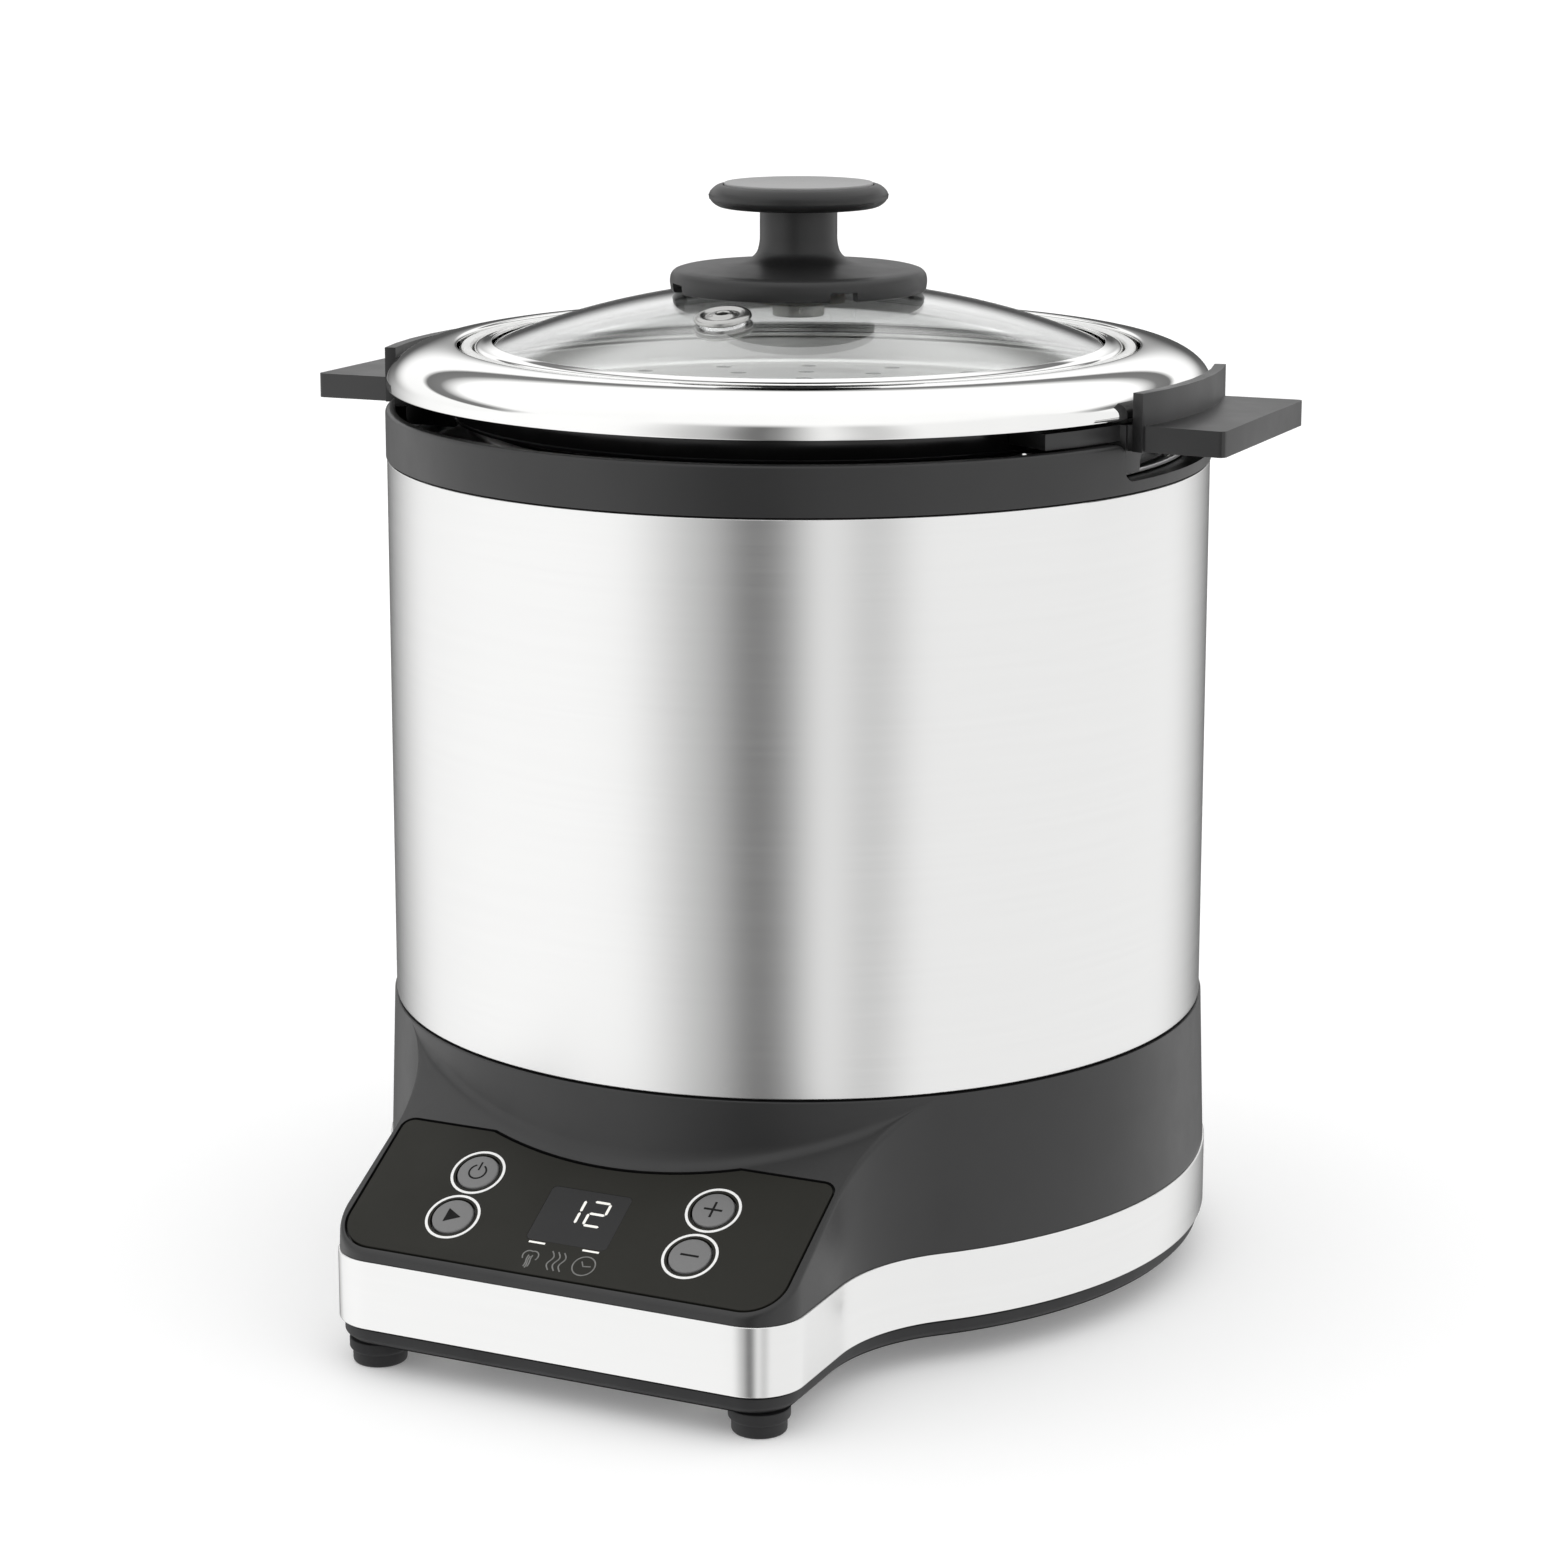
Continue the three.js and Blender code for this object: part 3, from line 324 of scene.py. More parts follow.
def plan_outline():
    """The outline in plan, run once round anticlockwise from the middle of the nose, as rows of
    (x, y, outward x, outward y): straight front, corner arc, straight side, hollow flank arc, back circle."""
    half_pi = math.pi / 2
    corner = (NOSE_HALF - NOSE_CORNER, FRONT + NOSE_CORNER)
    front = np.zeros((14, 4))
    front[:, 0] = np.linspace(0, corner[0], 14, endpoint=False)
    front[:, 1:] = (FRONT, 0.0, -1.0)
    side = np.zeros((8, 4))
    side[:, 1] = np.linspace(corner[1], flank_y, 8, endpoint=False)
    side[:, [0, 2]] = (NOSE_HALF, 1.0)
    flank = arc_points(flank_x, flank_y, FLANK, math.pi, math.pi - flank_turn, 26)
    flank[:, 2:] *= -1
    right = np.vstack([front, arc_points(*corner, NOSE_CORNER, -half_pi, 0, 22)[:-1], side, flank[:-1],
                       arc_points(0, 0, ROUND, -flank_turn, half_pi, 90)])
    left = right[::-1][1:-1] * (-1, 1, -1, 1)
    return np.vstack([right, left])


PLAN = plan_outline()


def sweep_plan(section, plan=None):
    """A section of (outset, height) carried round the plan: point = outline + outset * outward way."""
    plan = PLAN if plan is None else plan
    out, height = section[:, 0][None, :, None], section[:, 1][None, :]
    flat = plan[:, None, :2] + out * plan[:, None, 2:]
    return np.concatenate([flat, np.broadcast_to(height, flat.shape[:2])[..., None]], axis=-1)


def slab(outline, low, high, bevel=0.0):
    """A flat plate of the given outline, with both rims rounded by the bevel."""
    outline = np.asarray(outline, float)
    way = np.roll(outline, -1, axis=0) - np.roll(outline, 1, axis=0)
    way = np.stack([way[:, 1], -way[:, 0]], axis=1) / np.linalg.norm(way, axis=1, keepdims=True)
    t = np.linspace(0, np.pi / 2, 5) if bevel else np.zeros(1)
    out = np.concatenate([bevel * (np.sin(t) - 1), bevel * (np.cos(t) - 1)])
    height = np.concatenate([low + bevel * (1 - np.cos(t)), high - bevel * (1 - np.sin(t))])
    ring = outline[None] + out[:, None, None] * way[None]
    points = np.concatenate([ring, np.broadcast_to(height[:, None, None], (*ring.shape[:2], 1))], axis=-1)
    return points.reshape(-1, 3), capped_faces(*points.shape[:2])


def carve(piece, *cutters):
    """Takes the cutters' solids out of a piece and bakes the result into its mesh."""
    for points, faces in cutters:
        tool = new_solid("tool", points, faces)
        cut = piece.modifiers.new("cut", "BOOLEAN")
        cut.operation, cut.solver, cut.object = "DIFFERENCE", "EXACT", tool
        bake(piece)
        bpy.data.objects.remove(tool)
    smooth(piece)


def bake(piece):
    """Applies a piece's modifiers to its mesh."""
    depsgraph = bpy.context.evaluated_depsgraph_get()
    mesh = bpy.data.meshes.new_from_object(piece.evaluated_get(depsgraph))
    piece.modifiers.clear()
    old, piece.data = piece.data, mesh
    name = old.name
    bpy.data.meshes.remove(old)
    mesh.name = name


def pill(x, y, half_length, radius, turned=0.0):
    """A slot's outline: two half circles joined by straight sides, turned about its middle."""
    a = np.linspace(-np.pi / 2, np.pi / 2, 9)
    right = np.stack([half_length + radius * np.cos(a), radius * np.sin(a)], axis=1)
    shape = np.vstack([right, -right])
    c, s = math.cos(turned), math.sin(turned)
    return shape @ np.array([[c, s], [-s, c]]) + (x, y)


black = ((0.0105, 0.0105, 0.0108), (0.0135, 0.0135, 0.0138))
moulded_black = moulded("moulded_black", *black, (0.33, 0.40), Specular_IOR_Level=0.55)
underside = moulded("plate_black", (0.011, 0.011, 0.012), (0.016, 0.016, 0.017), (0.55, 0.66), 1900.0)
plate_section = rounded([(-2.2, plate_low, 0.3), (-1.0, plate_low + 1.2, 0.4), (-1.0, plate_top, 0.3)], 5)
plate_points = sweep_plan(plate_section[plate_section[:, 0] > -2.6])
rows, columns = plate_points.shape[:2]
order = np.argsort(plate_section[:, 1], kind="stable")
plate_points = plate_points[:, order]
plate_faces = grid_faces(rows, columns, wrap_columns=False).tolist()
plate_faces += [tuple(range(0, rows * columns, columns)),
                tuple(range(columns - 1, rows * columns, columns))]
base_plate = make_piece("base_plate_moulding", plate_points, plate_faces, "base", underside,
                        "black_plastic", "base_plate")
slots = [slab(pill(0, y, 20, 1.1), plate_low - 2, plate_low + 1.6) for y in np.arange(-26, 27, 6.5)]
sinks = []
screw_at = {}
for spot in foot_at:
    low, high = np.array(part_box("base_screw_" + spot)) / MM
    screw_at[spot] = ((low[0] + high[0]) / 2, (low[1] + high[1]) / 2 - axis_y)
    circle = arc_points(*screw_at[spot], 3.6, 0, 2 * np.pi, 33)[:-1, :2]
    sinks.append(slab(circle, plate_low - 2, plate_low + 2.0))
carve(base_plate, *slots, *sinks)

zinc, tree, shader = new_finish("zinc_screw", (0.62, 0.62, 0.60), 0.34, 1.0)
tree.links.new(mottle(tree, 700.0, 0.26, 0.44), shader.inputs["Roughness"])
two_tone(tree, shader, mottle(tree, 400.0, 0.0, 1.0), (0.52, 0.52, 0.50), (0.68, 0.68, 0.66))


def cross_head(points, at, top, radius, depth, down):
    """Sinks a cross recess into a screw's face: a point nearer than half a blade's width to either arm moves
    inwards by the depth, less as it nears the arm's end."""
    x, y = points[..., 0] - at[0], points[..., 1] - at[1]
    reach = np.hypot(x, y)
    arm = np.minimum(np.abs(x), np.abs(y)) < 0.42
    face = np.abs(points[..., 2] - top) < 0.06
    sink = np.where(arm & face, depth * np.clip((radius - reach) / radius * 1.6, 0, 1), 0)
    points[..., 2] += sink if down else -sink
    return points


def screw_piece(name, at, seat, face, radius, shank, tip, body, *nodes):
    """A cross-head screw pointing up: domed face below, head, then its shank."""
    spots = np.linspace(0, radius - 0.5, 12)
    dome = np.stack([spots, face + 0.0 * spots], axis=1)
    rest = rounded([(radius, face, 0.4), (radius, seat, 0.1), (shank, seat, 0.2), (shank, tip - 1, 0.2),
                    (0.2, tip, 0.1)], 4)
    section = np.vstack([dome, rest[rest[:, 0] > 0.1], [[0.0, tip]]])
    points = spin_points(section, 96) + (at[0], at[1], 0.0)
    points = cross_head(points, at, face, radius - 0.7, 1.1, True)
    return make_piece(name, points, grid_faces(*points.shape[:2]), body, zinc, "zinc_screws", *nodes)


for spot, at in screw_at.items():
    low, high = np.array(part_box("base_screw_" + spot)) / MM
    screw_piece("plate_screw_" + spot, at, low[2] + 1.5, low[2], 3.2, 1.7, high[2], "base",
                "base_screw_" + spot)

# ---------------------------------------------------------------- trim band
# A strip of stainless steel 13 mm high, bent round the whole base and butted at the back. It is brushed
# along its length and its edges are rolled.

band_low, band_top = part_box("trim_band")[0][2] / MM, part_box("trim_band")[1][2] / MM
SHEET = 0.8


def make_brush_lines():
    """Brushing: noise squeezed up the height and left long round the wall, so it reads as fine level lines,
    with slower bands under it. Vector is the piece's own place; Lines is how many there are to a metre."""
    group, ins, outs = new_group("brush_lines", {"Vector": ("Vector", None), "Lines": ("Float", 2600.0),
                                 "Length": ("Float", 26.0)}, {"Height": "Float", "Tone": "Float"})
    stretch = add_node(group, "CombineXYZ", None, X=ins.outputs["Length"], Y=ins.outputs["Length"],
                       Z=ins.outputs["Lines"])
    scaled = add_node(group, "VectorMath", {"operation": "MULTIPLY"})
    group.links.new(ins.outputs["Vector"], scaled.inputs[0])
    group.links.new(stretch.outputs[0], scaled.inputs[1])
    fine = add_node(group, "TexNoise", None, Vector=scaled.outputs[0], Scale=1.0, Detail=3.0,
                    Roughness=0.65)
    slower = add_node(group, "VectorMath", {"operation": "MULTIPLY"})
    group.links.new(scaled.outputs[0], slower.inputs[0])
    slower.inputs[1].default_value = (0.6, 0.6, 0.16)
    broad = add_node(group, "TexNoise", None, Vector=slower.outputs[0], Scale=1.0, Detail=2.0)
    tone = maths(group, "MULTIPLY_ADD", broad.outputs[0], 0.6,
                 maths(group, "MULTIPLY", fine.outputs[0], 0.4))
    group.links.new(fine.outputs[0], outs.inputs["Height"])
    group.links.new(tone, outs.inputs["Tone"])
    return group


def brushed(name, dark, light, gloss, lines, length):
    """Brushed stainless steel: level lines in the tone, the gloss and the normal, and a lobe drawn out
    across them."""
    finish, tree, shader = new_finish(name, light, gloss[1], 1.0, Anisotropic=0.75,
                                      Anisotropic_Rotation=0.25)
    tangent = add_node(tree, "Tangent", {"direction_type": "RADIAL", "axis": "Z"})
    tree.links.new(tangent.outputs[0], shader.inputs["Tangent"])
    lines_node = add_node(tree, "Group", {"node_tree": BRUSH_LINES}, Vector=place(tree), Lines=lines,
                          Length=length)
    two_tone(tree, shader, remap(tree, lines_node.outputs["Tone"], NOISE_RANGE), dark, light)
    tree.links.new(remap(tree, lines_node.outputs["Tone"], NOISE_RANGE, gloss), shader.inputs["Roughness"])
    bump(tree, shader, lines_node.outputs["Height"], 0.03, 0.000006)
    return finish


BRUSH_LINES = make_brush_lines()
brushed_steel = brushed("brushed_steel", (0.77, 0.77, 0.765), (0.79, 0.79, 0.785), (0.24, 0.27), 5200.0,
                        40.0)
band_section = rounded([(0.0, band_low, 0.3), (0.0, band_top, 0.3), (-SHEET, band_top, 0.2),
                        (-SHEET, band_low, 0.2)], 5)
band_points = sweep_plan(band_section)
make_piece("band_strip", band_points, grid_faces(*band_points.shape[:2]), "base", brushed_steel,
           "brushed_steel", "trim_band", crease=40)

# ---------------------------------------------------------------- base housing
# The black moulding above the band: a round drum with a nose whose sloping deck carries the controls. The
# deck's rim is softly rounded, and a small hollow fillet runs where the deck meets the drum. It is one
# injection moulding, dropped into the band and screwed to the plate.

housing_low, spigot_top = band_low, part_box("base_housing")[1][2] / MM
SHELL_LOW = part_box("outer_shell")[0][2] / MM
SHELL_RADIUS = (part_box("outer_shell")[1][0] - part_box("outer_shell")[0][0]) / 2 / MM
drum_top = SHELL_LOW - 0.3
DECK_SLOPE = 0.57
DECK_ANGLE = math.atan(DECK_SLOPE)
DECK_FRONT = band_top + 1.56
DECK_CUT = 1.5


def lean(height):
    """How far the moulding's draft has carried the wall in from the plan outline at a height."""
    return 0.3 + np.clip((height - band_top) / (drum_top - band_top), 0, 1)


def deck_height(y):
    """The deck's plane: its front edge's height, rising at the deck's slope towards the back."""
    return DECK_FRONT + DECK_SLOPE * (y - FRONT)


def housing_points():
    """The moulding as a closed section carried round the plan. At each place the wall runs up the leaning
    outline to the deck's plane, the deck runs in along that plane to the drum, and the drum runs up to
    the shell; behind the nose the deck's width is nought. The section comes back down 2.2 mm inside."""
    flat, way = PLAN[:, :2], PLAN[:, 2:]
    rim_z = np.full(len(flat), drum_top - 2.0)
    for _ in range(6):
        rim = flat - way * lean(rim_z)[:, None]
        rim_z = np.clip(deck_height(rim[:, 1]), band_top, drum_top - 0.05)
    ray = rim / np.linalg.norm(rim, axis=1, keepdims=True)
    meet_z = rim_z.copy()
    for _ in range(6):
        meet = ray * (ROUND - lean(meet_z))[:, None]
        meet_z = np.clip(deck_height(meet[:, 1]), rim_z, drum_top - 0.02)
    behind = (rim_z > drum_top - 0.1)[:, None]
    meet = np.where(behind, rim, meet)
    top = ray * (ROUND - lean(drum_top))
    ring = lambda radius: ray * radius
    out = lambda inset: flat - way * inset
    layers = [
        (out(1.1), housing_low, 0.2), (out(1.1), band_top + 0.02, 0.0), (out(0.3), band_top + 0.02, 0.15),
        (rim, rim_z, 1.1), (meet, meet_z, 2.4), (top, drum_top, 0.35),
        (ring(SHELL_RADIUS - 1.1), drum_top, 0.1), (ring(SHELL_RADIUS - 1.1), spigot_top, 0.3),
        (ring(SHELL_RADIUS - 3.1), spigot_top, 0.3), (ring(SHELL_RADIUS - 3.1), drum_top - 2.2, 0.0),
        (ray * (np.linalg.norm(meet, axis=1) - 2.2)[:, None], meet_z - 3.0, 0.0),
        (rim - way * 2.2, rim_z - 3.6, 0.0), (out(3.3), housing_low, 0.2),
    ]
    corner = np.stack([np.hstack([p, np.broadcast_to(np.asarray(z, float), len(p))[:, None]])
                       for p, z, _ in layers], axis=1)
    back = np.array([b for _, _, b in layers])[None, :, None]
    before, after = np.roll(corner, 1, axis=1) - corner, np.roll(corner, -1, axis=1) - corner
    size = lambda side: np.linalg.norm(side, axis=2, keepdims=True)
    step = lambda side: side / np.maximum(size(side), 1e-9) * np.minimum(back, size(side) * 0.45)
    t = np.linspace(0, 1, 8)[None, None, :, None]
    first = (corner + step(before))[:, :, None]
    last = (corner + step(after))[:, :, None]
    middle = corner[:, :, None]
    line = (1 - t) ** 2 * first + 2 * t * (1 - t) * middle + t**2 * last
    sharp = back[0, :, 0] == 0
    return np.concatenate([middle[:, k] if sharp[k] else line[:, k] for k in range(len(layers))], axis=1)


def on_deck(points, height=0.0):
    """Places flat points (across, up the slope) on the deck's plane, raised square to it by height."""
    points = np.asarray(points, float)
    c, s = math.cos(DECK_ANGLE), math.sin(DECK_ANGLE)
    across, up = points[..., 0], points[..., 1]
    height = np.broadcast_to(np.asarray(points[..., 2] if points.shape[-1] > 2 else height, float),
                             up.shape)
    return np.stack([across, FRONT + up * c - height * s, DECK_FRONT + up * s + height * c], axis=-1)


BUTTON_RADIUS = 3.9
BUTTONS = {"power": (-24.1, 22.6), "start": (-24.1, 11.65), "plus": (24.1, 22.6), "minus": (24.1, 11.65)}
WINDOW = (8.15, 9.6, 22.5)
PANEL_HALF, PANEL_LOW, PANEL_HIGH = 44.2, 1.9, 32.7


def panel_outline(grow):
    """The panel's outline on the deck: wide front corners, tight back ones, and a bay in the back edge that
    follows the drum at an even distance. Grow moves every edge outwards."""
    half, low, high = PANEL_HALF + grow, PANEL_LOW - grow, PANEL_HIGH + grow
    bay = ROUND + 1.5 - grow
    c = math.cos(DECK_ANGLE)
    meet = math.acos((-FRONT - high * c) / bay)
    a = np.linspace(-math.pi / 2 + meet, -math.pi / 2 - meet, 60)
    hollow = np.stack([bay * np.cos(a), (bay * np.sin(a) - FRONT) / c], axis=1)
    wide, tight, q = 7.0 + grow, 2.2 + grow, math.pi / 2
    return np.vstack([
        arc_points(half - wide, low + wide, wide, -q, 0, 14)[:, :2],
        arc_points(half - tight, high - tight, tight, 0, q, 8)[:, :2], hollow,
        arc_points(tight - half, high - tight, tight, q, 2 * q, 8)[:, :2],
        arc_points(wide - half, low + wide, wide, 2 * q, 3 * q, 14)[:, :2],
    ])


def window_outline(grow):
    """The display window's outline with 1 mm corners, grown by the given amount."""
    half, low, high = WINDOW[0] + grow, WINDOW[1] - grow, WINDOW[2] + grow
    q, r = math.pi / 2, 1.0
    return np.vstack([arc_points(x * (half - r), y, r, turn * q, (turn + 1) * q, 6)[:, :2]
                      for x, y, turn in ((1, low + r, -1), (1, high - r, 0), (-1, high - r, 1),
                                         (-1, low + r, 2))])


def circle(at, radius, count=48):
    """A ring of points round a place."""
    return arc_points(at[0], at[1], radius, 0, 2 * np.pi, count + 1)[:-1, :2]


def deck_solid(outline, low, high, bevel=0.0):
    """A plate of the given outline lying on the deck between two heights square to it."""
    points, faces = slab(outline, low, high, bevel)
    return on_deck(points), faces


housing_grid = housing_points()
housing = make_piece("housing_moulding", housing_grid, grid_faces(*housing_grid.shape[:2]), "base",
                     moulded_black, "black_plastic", "base_housing", crease=38)
bores = [deck_solid(circle(at, BUTTON_RADIUS + 0.9), -12, 1) for at in BUTTONS.values()]
inlet_low, inlet_high = (np.array(corner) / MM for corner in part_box("power_inlet"))
inlet_z = (inlet_low[2] + inlet_high[2]) / 2
INLET = (9.5, 5.4)


def upright_plate(outline, near, far):
    """A plate of the given outline (across, height) that stands across Y between two distances."""
    points, faces = slab(outline, near, far)
    return np.stack([points[:, 0], points[:, 2], points[:, 1]], axis=1), faces


socket_hole = upright_plate(pill(0, inlet_z, INLET[0] - INLET[1], INLET[1] + 0.3), 60, 100)
carve(housing, deck_solid(panel_outline(0.5), -DECK_CUT, 5), deck_solid(window_outline(0.3), -12, 1),
      *bores, socket_hole)
smooth(housing, 38)

# ---------------------------------------------------------------- control panel
# A matt film-coated panel set flush in the deck with a dark joint all round. The ring round each button
# is printed in white, and the small symbols under the window in grey.

film = moulded("panel_film", (0.0225, 0.0222, 0.0185), (0.0255, 0.0250, 0.0212), (0.55, 0.62), 3600.0,
               0.000006, 0.25,
               Specular_IOR_Level=0.16)
panel = make_piece("panel_plate", *deck_solid(panel_outline(0.0), -1.2, 0.0, 0.12), "base", film, "fascia",
                   "panel_fascia")
carve(panel, deck_solid(window_outline(0.03), -4, 2),
      *[deck_solid(circle(at, BUTTON_RADIUS + 0.4), -4, 2) for at in BUTTONS.values()])


def ribbon(path, width, low, high, closed=False):
    """A flat printed line: the path's two sides at half a width, as a thin closed strip on the deck."""
    path = np.asarray(path, float)
    ahead = np.roll(path, -1, axis=0) - np.roll(path, 1, axis=0)
    if not closed:
        ahead[0], ahead[-1] = path[1] - path[0], path[-1] - path[-2]
    side = np.stack([-ahead[:, 1], ahead[:, 0]], axis=1) / np.linalg.norm(ahead, axis=1,
                                                                          keepdims=True) * width / 2
    ring = np.stack([path + side, path + side, path - side, path - side], axis=1)
    height = np.broadcast_to(np.array([low, high, high, low])[None, :, None], (len(path), 4, 1))
    points = on_deck(np.concatenate([ring, height], axis=2))
    faces = grid_faces(len(path), 4, wrap_rows=closed).tolist()
    if not closed:
        faces += [(0, 1, 2, 3), tuple(len(path) * 4 - k for k in (1, 2, 3, 4))]
    return points.reshape(-1, 3), faces


def gather(parts):
    """Several solids' points and faces as one list."""
    points, faces, start = [], [], 0
    for some, those in parts:
        points.append(np.asarray(some).reshape(-1, 3))
        faces += [tuple(index + start for index in face) for face in those]
        start += len(points[-1])
    return np.vstack(points), faces


def arc_path(at, radius, start, end, count=24):
    """Part of a circle as a path, with its ends in degrees."""
    return arc_points(at[0], at[1], radius, math.radians(start), math.radians(end), count)[:, :2]


white_print, tree, shader = new_finish("white_print", (0.9, 0.9, 0.89), 0.5)
two_tone(tree, shader, mottle(tree, 900.0, 0.0, 1.0), (0.88, 0.88, 0.87), (0.95, 0.95, 0.94))
rings = gather([ribbon(circle(at, 4.98, 96), 0.5, 0.0, 0.03, closed=True) for at in BUTTONS.values()])
make_piece("button_rings", *rings, "base", white_print, "fascia")


def steam_symbol(x, y):
    """An open cloud outline with two lobes, and three wisps under it."""
    a = np.linspace(-0.3, math.pi + 0.3, 90)
    cloud = 1.32 + 0.34 * np.abs(np.sin(2.0 * (a + 0.3) * math.pi / (math.pi + 0.6)))
    top = np.stack([x + cloud * np.cos(a), y - 0.05 + cloud * np.sin(a) * 1.05], axis=1)
    t = np.linspace(0, 1, 16)
    wisps = [np.stack([x + shift + 0.08 * np.sin(6.3 * t), y - 2.5 + 2.7 * t + lift], axis=1)
             for shift, lift in ((-0.38, 0.25), (0.0, 0.0), (0.38, 0.3))]
    return [(top, False)] + [(wisp, False) for wisp in wisps]


def waves_symbol(x, y):
    """Three upright waves side by side, for warmth."""
    t = np.linspace(-1, 1, 40)
    return [(np.stack([x + shift + 0.42 * np.sin(t * 3.6) - 0.25 * t, y + 2.15 * t], axis=1), False)
            for shift in (-1.2, 0.0, 1.2)]


def clock_symbol(x, y):
    """A round clock face with two hands."""
    hands = np.array([(x - 0.75, y + 0.95), (x - 0.1, y - 0.1), (x + 1.35, y + 0.1)])
    return [(circle((x, y), 2.15, 60), True), (hands, False)]


grey_print, tree, shader = new_finish("grey_print", (0.17, 0.17, 0.165), 0.55)
two_tone(tree, shader, mottle(tree, 900.0, 0.0, 1.0), (0.14, 0.14, 0.135), (0.20, 0.20, 0.19))
symbols = steam_symbol(-5.3, 5.6) + waves_symbol(0.05, 5.6) + clock_symbol(5.6, 5.6)
make_piece("panel_symbols", *gather([ribbon(path, 0.26, 0.0, 0.02, closed) for path, closed in symbols]),
           "base", grey_print, "fascia")

# ---------------------------------------------------------------- display
# A smoked window level with the panel. Behind it a small light-emitting module shows two digits
# and two bars over the symbols; they read as thin lit shapes in the window's face.

smoke = moulded("smoke_window", (0.0315, 0.0315, 0.032), (0.034, 0.034, 0.0345), (0.5, 0.56), 3000.0,
                0.000003, 0.1,
                Specular_IOR_Level=0.16)
make_piece("window_pane", *deck_solid(window_outline(0.0), -0.9, 0.0, 0.08), "base", smoke, "display_smoke",
           "display_lens")
DIGIT = (3.3, 2.8)


def bar(start, end, width):
    """One lit segment: a long six-cornered bar between two places."""
    start, end = np.array(start, float), np.array(end, float)
    ahead = (end - start) / np.linalg.norm(end - start)
    side = np.array([-ahead[1], ahead[0]]) * width / 2
    inset = ahead * width / 2
    return np.array([start, start + inset + side, end - inset + side, end, end - inset - side,
                     start + inset - side])


def digit(x, y, lit):
    """A seven-segment digit of the given lit bars, with its lower left corner at (x, y)."""
    w, h = DIGIT
    ends = {"top": ((0, 2 * h), (w, 2 * h)), "middle": ((0, h), (w, h)), "bottom": ((0, 0), (w, 0)),
            "upper_right": ((w, h), (w, 2 * h)), "lower_right": ((w, 0), (w, h)),
            "lower_left": ((0, 0), (0, h)), "upper_left": ((0, h), (0, 2 * h))}
    trim = 0.10
    shapes = []
    for name in lit:
        start, end = np.array(ends[name][0], float), np.array(ends[name][1], float)
        ahead = (end - start) / np.linalg.norm(end - start)
        shape = bar(start + ahead * trim, end - ahead * trim, 0.52)
        shapes.append(shape + (x, y))
    return shapes


def prism(outline, low, high):
    """A flat shape on the deck given a thin thickness."""
    count = len(outline)
    points = np.vstack([np.hstack([outline, np.full((count, 1), low)]),
                        np.hstack([outline, np.full((count, 1), high)])])
    faces = [tuple(range(count)), tuple(range(count, 2 * count))]
    faces += [(k, (k + 1) % count, (k + 1) % count + count, k + count) for k in range(count)]
    return on_deck(points), faces


lit, tree, shader = new_finish("lit_segments", (0.75, 0.74, 0.70), 0.4, Emission_Strength=0.35)
two_tone(tree, shader, mottle(tree, 500.0, 0.0, 1.0), (0.70, 0.69, 0.65), (0.80, 0.79, 0.76))
shader.inputs["Emission Color"].default_value = (0.86, 0.84, 0.79, 1.0)
shapes = digit(-0.45 - DIGIT[0], 14.65, ["upper_right", "lower_right"])
shapes += digit(1.3, 14.65, ["top", "upper_right", "middle", "lower_left", "bottom"])
shapes += [np.array([(x, 8.85), (x + 3.3, 8.85), (x + 3.3, 9.25), (x, 9.25)]) for x in (-7.1, 3.8)]
make_piece("lit_digits", *gather([prism(shape, 0.0, 0.025) for shape in shapes]), "base", lit,
           "display_smoke")

# ---------------------------------------------------------------- buttons
# Four round grey keys that press down into the deck. Each is a hard cap with a flange that keeps it in,
# a stem that works a small switch below, a fine rounded rim and a sunk dark symbol.

key_grey = moulded("key_grey", (0.165, 0.165, 0.165), (0.185, 0.185, 0.185), (0.42, 0.5), 3200.0, 0.000006,
                   0.3)
key_mark, tree, shader = new_finish("key_symbol", (0.012, 0.012, 0.012), 0.7, Specular_IOR_Level=0.1)
two_tone(tree, shader, mottle(tree, 900.0, 0.0, 1.0), (0.010, 0.010, 0.010), (0.015, 0.015, 0.015))
KEY_TOP = 0.25
key_section = rounded([(0.0, -1.95), (4.6, -1.95, 0.1), (4.6, -1.45, 0.1), (3.9, -1.45, 0.1),
                       (3.9, KEY_TOP, 0.3), (0.0, KEY_TOP + 0.04)], 5)
key_stem = rounded([(0.0, -3.3), (1.6, -3.3, 0.2), (1.6, -1.9, 0.1), (0.0, -1.9)], 4)
key_marks = {
    "power": [ribbon(arc_path((0, 0), 1.65, 118, 422, 40), 0.34, KEY_TOP, KEY_TOP + 0.06),
              ribbon([(0, 0.35), (0, 1.2), (0, 2.3)], 0.34, KEY_TOP, KEY_TOP + 0.06)],
    "start": [prism(np.array([(-1.3, -1.6), (1.7, 0.0), (-1.3, 1.6)]), KEY_TOP, KEY_TOP + 0.06)],
    "plus": [ribbon([(-1.8, 0), (0, 0), (1.8, 0)], 0.44, KEY_TOP, KEY_TOP + 0.06),
             ribbon([(0, -1.8), (0, 0), (0, 1.8)], 0.44, KEY_TOP, KEY_TOP + 0.061)],
    "minus": [ribbon([(-1.8, 0), (0, 0), (1.8, 0)], 0.44, KEY_TOP, KEY_TOP + 0.06)],
}
